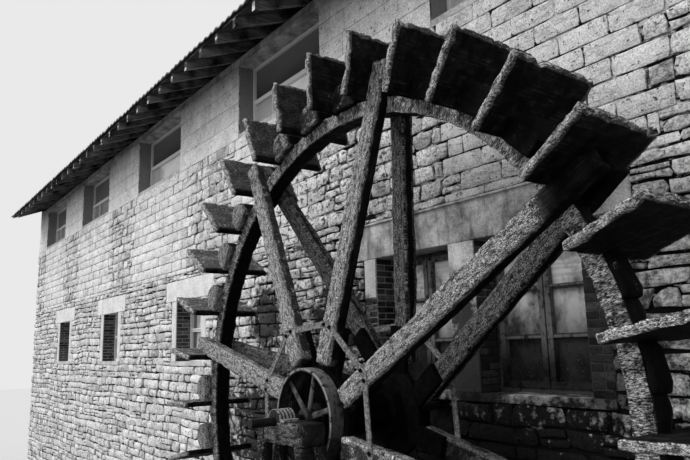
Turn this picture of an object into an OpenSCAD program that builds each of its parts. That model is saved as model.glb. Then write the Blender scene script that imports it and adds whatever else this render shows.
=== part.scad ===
// Watermill: a long stone mill house with a large timber water wheel on its front wall.
// +X runs along the front wall, +Y into the house, +Z up.
// Inside the modules x = 0 is the middle of the house, y = 0 the front wall's outer face, z = 0 its foot.

/* [House] */
// Number of window bays along the front
bays = 6; // [5:1:7]
// Length of one bay
bay_pitch = 4750; // [4500:50:5200]
// Depth of the house over its walls
house_depth = 9000; // [8000:100:10000]
// Thickness of the stone walls
wall_t = 500; // [400:10:600]
// Height of the walls up to the eaves
wall_h = 9450; // [9200:50:9900]
// Height of the concrete beam on top of the long walls
eaves_beam_h = 150; // [120:10:250]

/* [Floors] */
// Height of the sills beside the wheel above the ground floor
ground_sill_h = 600; // [550:10:900]
// Height of the upper sills above the upper floor
upper_sill_h = 1000; // [900:10:1200]
// Thickness of each floor
floor_t = 250; // [150:10:300]

/* [Upper windows] */
// Width of an upper window
upper_w = 2500; // [2000:50:2600]
// Height of an upper window, from its sill up to the beam
upper_h = 1250; // [1100:10:1350]
// Part of an upper window's height that lies below its transom
transom_share = 0.5; // [0.4:0.01:0.65]
// How far the second and third upper windows on the front stand left of their bays' middles
bay_slip = 300; // [0:10:400]
// Width of the outer members of an upper window's frame
upper_frame_w = 45; // [30:5:60]

/* [Lower windows] */
// Clear width of a lower window between its brick jambs
lower_w = 1150; // [900:10:1300]
// Clear height of a lower window
lower_h = 1160; // [1000:10:1200]
// Distance of the lower windows' heads below the top of the rubble stage
lower_head_drop = 520; // [420:10:600]
// How far the front's lower windows stand right of the upper ones
lower_shift = 1780; // [1200:20:1800]
// How far the last bay's lower window stands right of its bay's middle
last_shift = 900; // [600:50:1100]
// Width of the brick jambs
brick_t = 220; // [110:10:240]
// Height of the concrete lintels
lintel_h = 400; // [200:10:420]
// How far a lintel runs into the wall beyond the jambs
lintel_bearing = 300; // [100:10:300]

/* [Windows beside the wheel] */
// Clear width of each of the two windows
pair_w = 1220; // [1000:10:1250]
// Width of the brick pier between the two windows
pair_pier_w = 360; // [300:10:400]
// Distance of the pair's middle from the wheel's axle
pair_shift = 480; // [400:10:600]
// Height of the pair, from its sill up to its lintel
pair_h = 1530; // [1400:10:1600]
// Height of the long lintel over the pair, up to the top of the rubble stage
pair_lintel_h = 450; // [400:10:500]

/* [Sills and frames] */
// Thickness of the window sills
sill_t = 80; // [60:5:100]
// How far the lower sills stand out from the wall
sill_out = 30; // [20:5:90]
// Depth from the wall's outer face to the window frames
frame_setback = 280; // [150:10:300]
// Width of the outer members of the lower windows' frames
frame_w = 70; // [50:5:90]
// Depth of the window frames
frame_d = 70; // [50:5:90]
// Width of the mullions, transoms and glazing bars
bar_w = 45; // [30:5:60]
// Depth of the mullions, transoms and glazing bars
bar_d = 45; // [30:5:48]
// Thickness of the glass
glass_t = 4; // [3:1:6]

/* [Roof] */
// Slope of the roof
roof_pitch = 22; // [18:0.5:26]
// How far the rafters reach past the long walls
eaves_out = 900; // [700:20:1000]
// How far the roof reaches past the gables
verge_out = 250; // [100:10:350]
// Depth of a rafter
rafter_h = 140; // [100:5:180]
// Width of a rafter
rafter_w = 80; // [60:5:100]
// Distance between rafters
rafter_pitch = 600; // [500:10:700]
// Thickness of the roof boards
deck_t = 25; // [20:1:40]
// Thickness of the layer of roof tiles
tile_t = 60; // [40:5:80]
// How far the tiles reach past the boards at the eaves
tile_out = 60; // [30:5:80]
// Width of the timber plate under the rafters
plate_w = 200; // [150:10:220]
// Distance of the timber plate from the wall's outer face
plate_in = 120; // [80:10:150]
// Width of the ridge beam
ridge_w = 160; // [120:10:200]
// Depth of the ridge beam
ridge_h = 260; // [200:10:320]
// Outer radius of the ridge tiles
ridge_tile_r = 140; // [120:5:180]
// Thickness of the ridge tiles
ridge_tile_t = 20; // [14:1:30]

/* [Water wheel] */
// Distance of the wheel's axle from the left corner of the house
wheel_from_corner = 19900; // [19400:50:20200]
// Clearance between the lowest paddle and the foot of the walls
pit_gap = 123; // [100:1:300]
// Distance of the wheel's axle below the sill of the windows beside it
axle_drop = 150; // [140:5:200]
// Distance of the wheel's middle plane from the wall
wheel_out = 1070; // [1000:10:1200]
// Outer radius of the ring
rim_r = 3040; // [2900:10:3060]
// Radial thickness of the ring
rim_t = 150; // [120:5:180]
// Width of the ring along the axle
rim_w = 200; // [180:5:220]
// Number of paddles round the ring
paddle_count = 32; // [24:8:32]
// Angle of the first paddle above the horizontal
first_paddle = 0.9; // [0:0.1:11]
// Length of a paddle along the axle
paddle_w = 940; // [800:10:960]
// Radial height of a paddle
paddle_h = 620; // [550:10:640]
// Thickness of a paddle
paddle_t = 60; // [40:5:75]
// Depth to which the paddles are let into the ring
paddle_let_in = 33; // [20:1:50]

/* [Paddle blocks] */
// Length of a block along the ring
block_along = 320; // [260:10:340]
// Height of a block above the ring
block_out = 235; // [180:5:260]
// Width of a block along the axle
block_across = 180; // [120:10:200]
// Length of the slanting corners of a block
block_chamfer = 115; // [60:5:120]

/* [Spokes] */
// Number of spokes on each side of the ring
spoke_count = 8; // [6:2:8]
// Width of a spoke
spoke_w = 192; // [160:4:200]
// Thickness of a spoke
spoke_t = 135; // [120:5:140]
// Radius at which the spokes start
spoke_in = 500; // [490:5:540]
// Radius at which the spokes end, outside the ring
spoke_out = 3400; // [3300:10:3450]
// Distance from the ring's middle plane to the spokes' inner faces, taken at the axle
spoke_spread = 488; // [470:2:500]
// Depth of the notch in a spoke where it lies over the ring's outer edge
spoke_notch = 24; // [22:1:40]

/* [Hubs and axle] */
// Width of the eight-sided axle across its flats
axle_w = 360; // [300:10:400]
// Distance from the ring's middle plane to the near end of the axle
axle_near = 440; // [430:2:450]
// Distance from the ring's middle plane to the far end of the axle
axle_far = 560; // [500:10:700]
// Radius of the hub disc
hub_r = 470; // [430:5:485]
// Thickness of the hub disc
hub_t = 60; // [50:5:80]
// Radius of the hub's boss round the axle
boss_r = 265; // [240:5:290]
// Length of the hub's boss
boss_l = 170; // [120:5:200]
// Radius to which the hub's arms carry the spokes
lug_r = 860; // [780:10:900]
// Thickness of the hub's arms
lug_t = 55; // [45:5:70]
// Radius of the iron gudgeons in their bearings
gudgeon_r = 42; // [41:1:46]
// Radius of the near gudgeon's free end
shaft_end_r = 40; // [34:1:40]
// Length of the near gudgeon's free end
shaft_end_l = 218; // [150:2:230]
// Radius of the gudgeons' flanges
flange_r = 130; // [110:5:150]
// Thickness of the gudgeons' flanges
flange_t = 26; // [20:1:30]
// Distance from the ring's middle plane to the free end of the near gudgeon
gudgeon_near = 1150; // [1100:10:1170]
// How far the far gudgeon reaches into the house behind the wall
gudgeon_in = 180; // [100:10:300]

/* [Tie rings] */
// Radius of the eight-sided tie rings at their corners
tie_r = 920; // [880:10:980]
// Width of the flat iron of the tie rings
tie_w = 62; // [50:2:80]
// Thickness of the flat iron of the tie rings
tie_t = 12; // [8:1:16]

/* [Belt pulley] */
// Outer radius of the pulley
pulley_r = 452; // [420:2:470]
// Width of the pulley's rim
pulley_w = 136; // [110:2:138]
// Thickness of the pulley's rim
pulley_rim_t = 22; // [16:1:30]
// Distance from the ring's middle plane to the pulley's back
pulley_z = 480; // [478:1:484]
// Number of pulley arms
pulley_arms = 6; // [4:1:8]
// Width of a pulley arm
pulley_arm_w = 62; // [44:2:80]
// Thickness of a pulley arm
pulley_arm_t = 26; // [18:2:40]
// Radius of the pulley's boss
pulley_boss_r = 85; // [70:5:100]

/* [Bearings] */
// Distance from the ring's middle plane to the near bearing block
block_z = 642; // [636:2:660]
// Thickness of the near bearing block along the axle
block_d = 270; // [220:5:280]
// How far the near bearing block reaches left of the axle
block_left = 190; // [170:5:260]
// How far the near bearing block reaches right of the axle
block_right = 420; // [300:5:480]
// Height of the near bearing block, up to the axle
block_h = 190; // [160:5:220]
// Radius of the near bearing's cap
cap_r = 107; // [95:1:120]
// Length of the near bearing's cap along the axle
cap_l = 160; // [150:5:200]
// Length of the cap's feet across the axle
cap_foot_w = 330; // [280:10:380]
// Thickness of the cap's feet
cap_foot_t = 24; // [16:1:30]
// Number of ribs round the cap
cap_ribs = 5; // [3:1:5]
// Height of the cap's ribs
rib_h = 13; // [6:1:14]
// Width of the hole in the wall for the far bearing
shaft_hole_w = 640; // [600:10:700]
// Depth of the hole's floor below the axle
shaft_hole_drop = 300; // [250:10:320]
// Width of the far bearing block
far_block_w = 400; // [340:10:460]
// Length of the far bearing block along the axle
far_block_l = 300; // [240:10:320]
// Distance of the far bearing block from the wall's outer face
far_block_in = 90; // [60:5:100]
// Radius of the far bearing's cap
far_cap_r = 64; // [56:1:68]
// Running clearance of the gudgeons in their bearings
run_gap = 0.3; // [0.2:0.05:0.5]

/* [Bearing stand] */
// Height of the timber stand between the masonry pier and the bearing block
stand_h = 1410; // [1200:10:1600]
// Width of the pier along the wall
pier_w = 1500; // [1400:10:1700]
// Distance from the ring's middle plane to the pier
pier_z = 580; // [560:5:600]
// Thickness of the pier along the axle
pier_d = 600; // [560:10:700]
// Side of the square legs
leg_w = 110; // [90:5:120]
// How far each leg leans out to the side between the bearing block's underside and its foot
leg_splay = 260; // [150:10:300]
// Distance of the tops of the legs beside the bearing block below the axle
post_drop = 60; // [50:5:120]
// Height of the rails between the legs
rail_h = 90; // [70:5:110]

/* [Hidden] */
$fn = 96;

// Gap between two sloping layers of the roof
play = 0.2;

house_l = bays * bay_pitch;
left_x = -house_l / 2;
wheel_x = left_x + wheel_from_corner;

// Heights above the foot of the walls: the wheel's size sets the axle's, and that the lower windows'
axle_z = rim_r - paddle_let_in + paddle_h + pit_gap;
pair_sill_z = axle_z + axle_drop;
pair_head_z = pair_sill_z + pair_h;
rubble_h = pair_head_z + pair_lintel_h;
lower_head_z = rubble_h - lower_head_drop;
lower_sill_z = lower_head_z - lower_h;
ground_floor_z = pair_sill_z - ground_sill_h;
pier_h = axle_z - block_h - stand_h;
upper_head_z = wall_h - eaves_beam_h;
upper_sill_z = upper_head_z - upper_h;
upper_floor_z = upper_sill_z - upper_sill_h;
pair_left = wheel_x + pair_shift - pair_pier_w / 2 - pair_w;
pair_right = wheel_x + pair_shift + pair_pier_w / 2 + pair_w;

// The roof's planes are lines in the YZ plane that rise from the long walls
rise = tan(roof_pitch);
slope = 1 / cos(roof_pitch);
ridge_y = house_depth / 2;
rafter_z = wall_h;
rafter_top_z = rafter_z + rafter_h * slope;
deck_z = rafter_top_z + play;
deck_top_z = deck_z + deck_t * slope;
tile_z = deck_top_z + play;
roof_z = tile_z + tile_t * slope;
roof_l = house_l + 2 * verge_out;

// Middle of the whole object along Y, between the bearing pier and the tiles behind the house
front_y = -wheel_out - pier_z - pier_d;
back_y = house_depth + eaves_out + tile_out;
mid_y = (front_y + back_y) / 2;

// The spokes lean in from the hubs to the ring and lie beside every fourth paddle
rim_face = rim_w / 2;
spoke_rim_z = rim_face - spoke_notch;
spoke_tilt = atan((spoke_spread - spoke_rim_z) / rim_r);
spoke_side = (spoke_w + paddle_t) / 2;
paddles_per_spoke = paddle_count / spoke_count;
cut = 1;
big = 2 * house_l;

function bay_x(i) = left_x + (i + 0.5) * bay_pitch;
function paddle_angle(k) = first_paddle + k * 360 / paddle_count;
function spoke_angle(k) = paddle_angle((k + 1) * paddles_per_spoke - 1);
bay_middles_x = [for (i = [0 : bays - 1]) bay_x(i)];
front_upper_x = [for (i = [0 : bays - 1]) bay_x(i) - (i == 1 || i == 2 ? bay_slip : 0)];
// Middle of each lower window on the front: the bays left of the wheel, then the last bay
front_lower_x = concat([for (i = [0 : bays - 4]) front_upper_x[i] + lower_shift],
                       [bay_x(bays - 1) + last_shift]);
gable_x = [-house_depth / 4, house_depth / 4];
pair_x = [pair_left + pair_w / 2, pair_right - pair_w / 2];

// Frames of reference
module in_place() { translate([0, -mid_y, 0]) children(); }
module at_back() { translate([0, house_depth, 0]) mirror([0, 1, 0]) children(); }
module at_left() { translate([left_x, house_depth / 2, 0]) rotate([0, 0, -90]) children(); }
module at_right() { translate([-left_x, house_depth / 2, 0]) rotate([0, 0, 90]) children(); }
// In the wheel's frame z runs along the axle, out from the wall
module at_wheel() { translate([wheel_x, -wheel_out, axle_z]) rotate([90, 0, 0]) children(); }
module far_side() { mirror([0, 0, 1]) children(); }

// Box from x0 to x1, y0 to y1 and z0 to z1
module block(x0, x1, y0, y1, z0, z1) {
    translate([x0, y0, z0]) cube([x1 - x0, y1 - y0, z1 - z0]);
}
// Flat outline in the YZ plane, drawn out along X from x0 to x1
module along_x(x0, x1) {
    translate([x0, 0, 0]) rotate([90, 0, 90]) linear_extrude(x1 - x0) children();
}

// Windows
module upper_openings(xs) {
    for (x = xs) block(x - upper_w / 2, x + upper_w / 2, -cut, wall_t + cut,
                       upper_sill_z - sill_t, upper_head_z);
}
module lower_openings(xs) {
    half = lower_w / 2 + brick_t;
    for (x = xs) {
        block(x - half, x + half, -cut, wall_t + cut, lower_sill_z - sill_t, lower_head_z);
        lower_lintel(x, cut);
    }
}
module lower_lintel(x, extra = 0) {
    half = lower_w / 2 + brick_t + lintel_bearing;
    block(x - half, x + half, -extra, wall_t + extra, lower_head_z, lower_head_z + lintel_h);
}
module sill(x0, x1, top, out = sill_out) {
    block(x0, x1, -out, wall_t, top - sill_t, top);
}
// The upper sills end at the wall's face
module upper_sills(xs) {
    for (x = xs) sill(x - upper_w / 2, x + upper_w / 2, upper_sill_z, 0);
}
module lower_sills(xs) {
    half = lower_w / 2 + brick_t;
    for (x = xs) sill(x - half, x + half, lower_sill_z);
}
module jamb(x0, x1, bottom, top) {
    block(x0, x1, 0, wall_t, bottom, top);
}
module lower_jambs(xs) {
    for (x = xs, s = [-1, 1]) {
        edge = x + s * lower_w / 2;
        jamb(min(edge, edge + s * brick_t), max(edge, edge + s * brick_t), lower_sill_z, lower_head_z);
    }
}
// Frame round one window, with upright bars at the given shares of its width and
// level bars at the given shares of its height
module frame(x, w, bottom, top, uprights, levels, edge = frame_w) {
    y0 = frame_setback;
    in_w = w - 2 * edge;
    in_h = top - bottom - 2 * edge;
    difference() {
        block(x - w / 2, x + w / 2, y0, y0 + frame_d, bottom, top);
        block(x - in_w / 2, x + in_w / 2, y0 - cut, y0 + frame_d + cut, bottom + edge, top - edge);
    }
    for (u = uprights) {
        left = x - in_w / 2 + u * in_w - bar_w / 2;
        block(left, left + bar_w, y0, y0 + bar_d, bottom + edge - cut, top - edge + cut);
    }
    for (v = levels) {
        bar_z = bottom + edge + v * in_h;
        block(x - in_w / 2 - cut, x + in_w / 2 + cut, y0, y0 + bar_d, bar_z - bar_w / 2, bar_z + bar_w / 2);
    }
}
module glass(x, w, bottom, top, edge = frame_w) {
    y0 = frame_setback + bar_d;
    block(x - w / 2 + edge, x + w / 2 - edge, y0, y0 + glass_t, bottom + edge, top - edge);
}
module upper_frames(xs) {
    for (x = xs) frame(x, upper_w, upper_sill_z, upper_head_z, [], [transom_share], upper_frame_w);
}
module upper_panes(xs) {
    for (x = xs) glass(x, upper_w, upper_sill_z, upper_head_z, upper_frame_w);
}
module lower_frames(xs) {
    for (x = xs) frame(x, lower_w, lower_sill_z, lower_head_z, [0.5], [0.5]);
}
module lower_panes(xs) {
    for (x = xs) glass(x, lower_w, lower_sill_z, lower_head_z);
}

// Walls
module front_wall_lower() color("darkgray") in_place() difference() {
    block(left_x, -left_x, 0, wall_t, 0, rubble_h);
    lower_openings(front_lower_x);
    block(pair_left - brick_t, pair_right + brick_t, -cut, wall_t + cut, pair_sill_z - sill_t, pair_head_z);
    pair_lintel(cut);
    block(wheel_x - shaft_hole_w / 2, wheel_x + shaft_hole_w / 2, -cut, wall_t + cut,
          axle_z - shaft_hole_drop, pair_sill_z - sill_t);
}
module front_wall_upper() color("silver") in_place() difference() {
    block(left_x, -left_x, 0, wall_t, rubble_h, upper_head_z);
    upper_openings(front_upper_x);
}
module back_wall_lower() color("darkgray") in_place() at_back() difference() {
    block(left_x, -left_x, 0, wall_t, 0, rubble_h);
    lower_openings(bay_middles_x);
}
module back_wall_upper() color("silver") in_place() at_back() difference() {
    block(left_x, -left_x, 0, wall_t, rubble_h, upper_head_z);
    upper_openings(bay_middles_x);
}
module gable() {
    inner = house_depth / 2 - wall_t;
    difference() {
        // Below the eaves the gable stands between the long walls, above them it spans both
        rotate([90, 0, 0]) mirror([0, 0, 1]) linear_extrude(wall_t) polygon([
            [-inner, 0], [inner, 0], [inner, wall_h], [ridge_y, wall_h],
            [ridge_y, rafter_top_z], [0, rafter_top_z + ridge_y * rise], [-ridge_y, rafter_top_z],
            [-ridge_y, wall_h], [-inner, wall_h]]);
        lower_openings(gable_x);
        upper_openings(gable_x);
    }
}
module left_gable() color("gray") in_place() at_left() gable();
module right_gable() color("gray") in_place() at_right() gable();
module eaves_beam() { block(left_x, -left_x, 0, wall_t, upper_head_z, wall_h); }
module eaves_beams() color("lightgray") in_place() {
    eaves_beam();
    at_back() eaves_beam();
}
module floor_slab(top) {
    block(left_x + wall_t, -left_x - wall_t, wall_t, house_depth - wall_t, top - floor_t, top);
}
module ground_floor() color("dimgray") in_place() floor_slab(ground_floor_z);
module upper_floor() color("peru") in_place() floor_slab(upper_floor_z);

// Window parts
module pair_lintel(extra = 0) {
    over = brick_t + lintel_bearing;
    block(pair_left - over, pair_right + over, -extra, wall_t + extra, pair_head_z, rubble_h + extra);
}
module wheel_lintel() color("gainsboro") in_place() pair_lintel();
module lower_lintels() color("gainsboro") in_place() {
    for (x = front_lower_x) lower_lintel(x);
    at_back() for (x = bay_middles_x) lower_lintel(x);
    at_left() for (x = gable_x) lower_lintel(x);
    at_right() for (x = gable_x) lower_lintel(x);
}
module window_sills() color("gainsboro") in_place() {
    upper_sills(front_upper_x);
    lower_sills(front_lower_x);
    sill(pair_left - brick_t, pair_right + brick_t, pair_sill_z);
    at_back() {
        upper_sills(bay_middles_x);
        lower_sills(bay_middles_x);
    }
    at_left() {
        upper_sills(gable_x);
        lower_sills(gable_x);
    }
    at_right() {
        upper_sills(gable_x);
        lower_sills(gable_x);
    }
}
module brick_jambs() color("rosybrown") in_place() {
    lower_jambs(front_lower_x);
    jamb(pair_left - brick_t, pair_left, pair_sill_z, pair_head_z);
    jamb(pair_left + pair_w, pair_right - pair_w, pair_sill_z, pair_head_z);
    jamb(pair_right, pair_right + brick_t, pair_sill_z, pair_head_z);
    at_back() lower_jambs(bay_middles_x);
    at_left() lower_jambs(gable_x);
    at_right() lower_jambs(gable_x);
}
module lower_window_frames() color("slategray") in_place() {
    lower_frames(front_lower_x);
    at_back() lower_frames(bay_middles_x);
    at_left() lower_frames(gable_x);
    at_right() lower_frames(gable_x);
}
module lower_window_glass() color("lightsteelblue") in_place() {
    lower_panes(front_lower_x);
    at_back() lower_panes(bay_middles_x);
    at_left() lower_panes(gable_x);
    at_right() lower_panes(gable_x);
}
module upper_window_frames() color("slategray") in_place() {
    upper_frames(front_upper_x);
    at_back() upper_frames(bay_middles_x);
    at_left() upper_frames(gable_x);
    at_right() upper_frames(gable_x);
}
module upper_window_glass() color("lightsteelblue") in_place() {
    upper_panes(front_upper_x);
    at_back() upper_panes(bay_middles_x);
    at_left() upper_panes(gable_x);
    at_right() upper_panes(gable_x);
}
module wheel_window_frames() color("slategray") in_place() {
    for (x = pair_x) frame(x, pair_w, pair_sill_z, pair_head_z, [0.5], [1 / 3, 2 / 3]);
}
module wheel_window_glass() color("lightsteelblue") in_place() {
    for (x = pair_x) glass(x, pair_w, pair_sill_z, pair_head_z);
}

// Roof
module wall_plate() {
    top_out = rafter_z + plate_in * rise;
    top_in = rafter_z + (plate_in + plate_w) * rise;
    along_x(left_x + wall_t, -left_x - wall_t) polygon([
        [plate_in, wall_h], [plate_in + plate_w, wall_h],
        [plate_in + plate_w, top_in], [plate_in, top_out]]);
}
module wall_plates() color("saddlebrown") in_place() {
    wall_plate();
    at_back() wall_plate();
}
// The ridge beam stands between the rafters' plumb-cut ends, its top under the boards
module ridge_beam() color("saddlebrown") in_place() {
    side_z = rafter_top_z + (ridge_y - ridge_w / 2) * rise;
    along_x(left_x + wall_t, -left_x - wall_t) polygon([
        [ridge_y - ridge_w / 2, side_z - ridge_h], [ridge_y + ridge_w / 2, side_z - ridge_h],
        [ridge_y + ridge_w / 2, side_z], [ridge_y, rafter_top_z + ridge_y * rise],
        [ridge_y - ridge_w / 2, side_z]]);
}
// Sloping band from the eaves up to end_y, from height z0 to z1 above the wall's face
module roof_band(reach, z0, z1, end_y = ridge_y) {
    polygon([[-reach, z0 - reach * rise], [end_y, z0 + end_y * rise],
             [end_y, z1 + end_y * rise], [-reach, z1 - reach * rise]]);
}
module rafter_row() {
    inner = house_l - 2 * wall_t;
    gaps = floor((inner - rafter_w) / rafter_pitch);
    first = -(gaps * rafter_pitch + rafter_w) / 2;
    for (i = [0 : gaps]) {
        x0 = first + i * rafter_pitch;
        along_x(x0, x0 + rafter_w) roof_band(eaves_out, rafter_z, rafter_top_z, ridge_y - ridge_w / 2);
    }
}
module rafters() color("saddlebrown") in_place() {
    rafter_row();
    at_back() rafter_row();
}
module deck_slope() {
    along_x(-roof_l / 2, roof_l / 2) roof_band(eaves_out, deck_z, deck_top_z);
}
module front_deck() color("tan") in_place() deck_slope();
module back_deck() color("tan") in_place() at_back() deck_slope();
module tile_slope() {
    along_x(-roof_l / 2, roof_l / 2) roof_band(eaves_out + tile_out, tile_z, roof_z);
}
module front_tiles() color("firebrick") in_place() tile_slope();
module back_tiles() color("firebrick") in_place() at_back() tile_slope();
module ridge_tiles() color("firebrick") in_place() {
    top = roof_z + ridge_y * rise;
    along_x(-roof_l / 2, roof_l / 2) difference() {
        translate([ridge_y, top - ridge_tile_r * (slope - 1)]) circle(r = ridge_tile_r);
        translate([ridge_y, top - ridge_tile_r * (slope - 1)]) circle(r = ridge_tile_r - ridge_tile_t);
        polygon([[ridge_y - big, top - big * rise], [ridge_y, top], [ridge_y + big, top - big * rise],
                 [ridge_y + big, -big], [ridge_y - big, -big]]);
    }
}

// Bearing stand in front of the wheel
module bearing_pier() color("gray") in_place() at_wheel() {
    block(-pier_w / 2, pier_w / 2, -axle_z, pier_h - axle_z, pier_z, pier_z + pier_d);
}
module bearing_block() color("sienna") in_place() at_wheel() difference() {
    block(-block_left, block_right, -block_h, 0, block_z, block_z + block_d);
    cylinder(r = gudgeon_r + run_gap, h = 2 * (block_z + block_d));
}
module bearing_cap() color("dimgray") in_place() at_wheel() {
    z0 = block_z + block_d - cap_l;
    rib_w = cap_l / (2 * cap_ribs - 1);
    translate([0, 0, z0]) difference() {
        union() {
            cylinder(r = cap_r - rib_h, h = cap_l);
            for (i = [0 : cap_ribs - 1]) translate([0, 0, 2 * i * rib_w]) cylinder(r = cap_r, h = rib_w);
            block(-cap_foot_w / 2, cap_foot_w / 2, 0, cap_foot_t, 0, cap_l);
        }
        translate([0, 0, -cut]) cylinder(r = gudgeon_r + run_gap, h = cap_l + 2 * cut);
        block(-big, big, -big, 0, -cut, cap_l + cut);
    }
}
// Leaning leg on the pier, its foot further out than its top; level with the bearing block's
// underside its inner face is at inner_x
module leg(inner_x, top, z0) {
    lean = atan(leg_splay / stand_h);
    intersection() {
        translate([inner_x, -block_h, z0]) rotate([0, 0, lean])
            translate([0, -2 * stand_h, 0]) cube([leg_w * cos(lean), 3 * stand_h, leg_w]);
        block(-pier_w / 2, pier_w / 2, -block_h - stand_h, top, z0, z0 + leg_w);
    }
}
// The right legs stand under the bearing block, the left ones beside its end, which is let into them
module bearing_trestle() color("sienna") in_place() at_wheel() {
    back = block_z;
    front = block_z + block_d - leg_w;
    rail_y = -block_h - stand_h / 2;
    difference() {
        for (z0 = [back, front]) {
            leg(block_right - leg_w, -block_h, z0);
            mirror([1, 0, 0]) leg(block_left, -post_drop, z0);
        }
        block(-block_left, block_right, -block_h, 0, back - cut, front + leg_w + cut);
    }
    // The rails run through the legs' middles, one across each pair and one along each side
    right = block_right - leg_w / 2 + leg_splay / 2;
    left = -block_left - leg_w / 2 - leg_splay / 2;
    for (z0 = [back, front]) block(left, right, rail_y, rail_y + rail_h, z0 + leg_w / 4, z0 + 3 * leg_w / 4);
    for (x = [left, right]) block(x - leg_w / 4, x + leg_w / 4, rail_y, rail_y + rail_h,
                                  back + leg_w / 4, front + 3 * leg_w / 4);
}
module wall_bearing_block() color("sienna") in_place() at_wheel() {
    z0 = -wheel_out - far_block_in - far_block_l;
    difference() {
        block(-far_block_w / 2, far_block_w / 2, -shaft_hole_drop, 0, z0, z0 + far_block_l);
        translate([0, 0, z0 - cut]) cylinder(r = gudgeon_r + run_gap, h = far_block_l + 2 * cut);
    }
}
module wall_bearing_cap() color("dimgray") in_place() at_wheel() {
    z0 = -wheel_out - far_block_in - far_block_l;
    translate([0, 0, z0]) difference() {
        union() {
            cylinder(r = far_cap_r, h = far_block_l);
            block(-far_block_w / 2, far_block_w / 2, 0, cap_foot_t, 0, far_block_l);
        }
        translate([0, 0, -cut]) cylinder(r = gudgeon_r + run_gap, h = far_block_l + 2 * cut);
        block(-big, big, -big, 0, -cut, far_block_l + cut);
    }
}

// Wheel
module octagon(across) { rotate(22.5) circle(r = across / 2 / cos(22.5), $fn = 8); }
module axle() color("darkolivegreen") in_place() at_wheel() {
    translate([0, 0, -axle_far]) linear_extrude(axle_far + axle_near) octagon(axle_w);
}
module near_gudgeon() color("dimgray") in_place() at_wheel() translate([0, 0, axle_near]) {
    cylinder(r = flange_r, h = flange_t);
    cylinder(r = gudgeon_r, h = gudgeon_near - shaft_end_l - axle_near);
    cylinder(r = shaft_end_r, h = gudgeon_near - axle_near);
}
module far_gudgeon() color("dimgray") in_place() at_wheel() far_side() translate([0, 0, axle_far]) {
    cylinder(r = flange_r, h = flange_t);
    cylinder(r = gudgeon_r, h = wheel_out + wall_t + gudgeon_in - axle_far);
}
// Bar under or on a spoke's line: x along the spoke, z out from its inner face
module on_spoke(k) {
    rotate([0, 0, spoke_angle(k)]) translate([0, -spoke_side, spoke_spread])
        rotate([0, spoke_tilt, 0]) children();
}
module spoke(k) {
    on_spoke(k) translate([spoke_in, -spoke_w / 2, 0]) cube([spoke_out - spoke_in, spoke_w, spoke_t]);
}
module spokes() {
    difference() {
        for (k = [0 : spoke_count - 1]) spoke(k);
        tie_ring();
        ring();
    }
}
module hub() {
    hub_z = axle_near - hub_t;
    lug_in = boss_r / 2;
    difference() {
        union() {
            translate([0, 0, hub_z]) cylinder(r = hub_r, h = hub_t);
            translate([0, 0, axle_near - boss_l]) cylinder(r = boss_r, h = boss_l);
            for (k = [0 : spoke_count - 1]) on_spoke(k)
                translate([lug_in, -spoke_w / 2, -lug_t]) cube([lug_r - lug_in, spoke_w, lug_t]);
        }
        linear_extrude(big) octagon(axle_w);
        // The disc and the arms' inner ends finish flush with the axle's end
        translate([0, 0, axle_near]) cylinder(r = spoke_in, h = spoke_spread);
    }
}
module near_hub() color("dimgray") in_place() at_wheel() hub();
module far_hub() color("dimgray") in_place() at_wheel() far_side() hub();
module near_spokes() color("lightgray") in_place() at_wheel() spokes();
module far_spokes() color("gray") in_place() at_wheel() far_side() spokes();
module paddle(k) {
    rotate([0, 0, paddle_angle(k)]) block(rim_r - paddle_let_in, rim_r - paddle_let_in + paddle_h,
                                          -paddle_t / 2, paddle_t / 2, -paddle_w / 2, paddle_w / 2);
}
module paddles() color("dimgray") in_place() at_wheel() {
    for (k = [0 : paddle_count - 1]) paddle(k);
}
module ring() {
    translate([0, 0, -rim_w / 2]) linear_extrude(rim_w) difference() {
        circle(r = rim_r);
        circle(r = rim_r - rim_t);
    }
}
module rim() color("darkgray") in_place() at_wheel() difference() {
    ring();
    for (k = [0 : paddle_count - 1]) paddle(k);
}
// Chunky block that backs a paddle on the ring's outer face: x runs along the ring, y out from it
module paddle_block(k) {
    sunk = rim_r - sqrt(pow(rim_r, 2) - pow(block_along + paddle_t, 2)) + cut;
    rotate([0, 0, paddle_angle(k)]) translate([rim_r, -paddle_t / 2, -block_across / 2]) rotate([0, 0, -90])
        linear_extrude(block_across) polygon([
            [0, -sunk], [0, block_out - block_chamfer], [block_chamfer, block_out],
            [block_along - block_chamfer, block_out], [block_along, block_out - block_chamfer],
            [block_along, -sunk]]);
}
module paddle_blocks() color("sienna") in_place() at_wheel() difference() {
    for (k = [0 : paddle_count - 1]) if ((k + 1) % paddles_per_spoke != 0) paddle_block(k);
    translate([0, 0, -rim_w]) cylinder(r = rim_r, h = 2 * rim_w);
}
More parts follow.
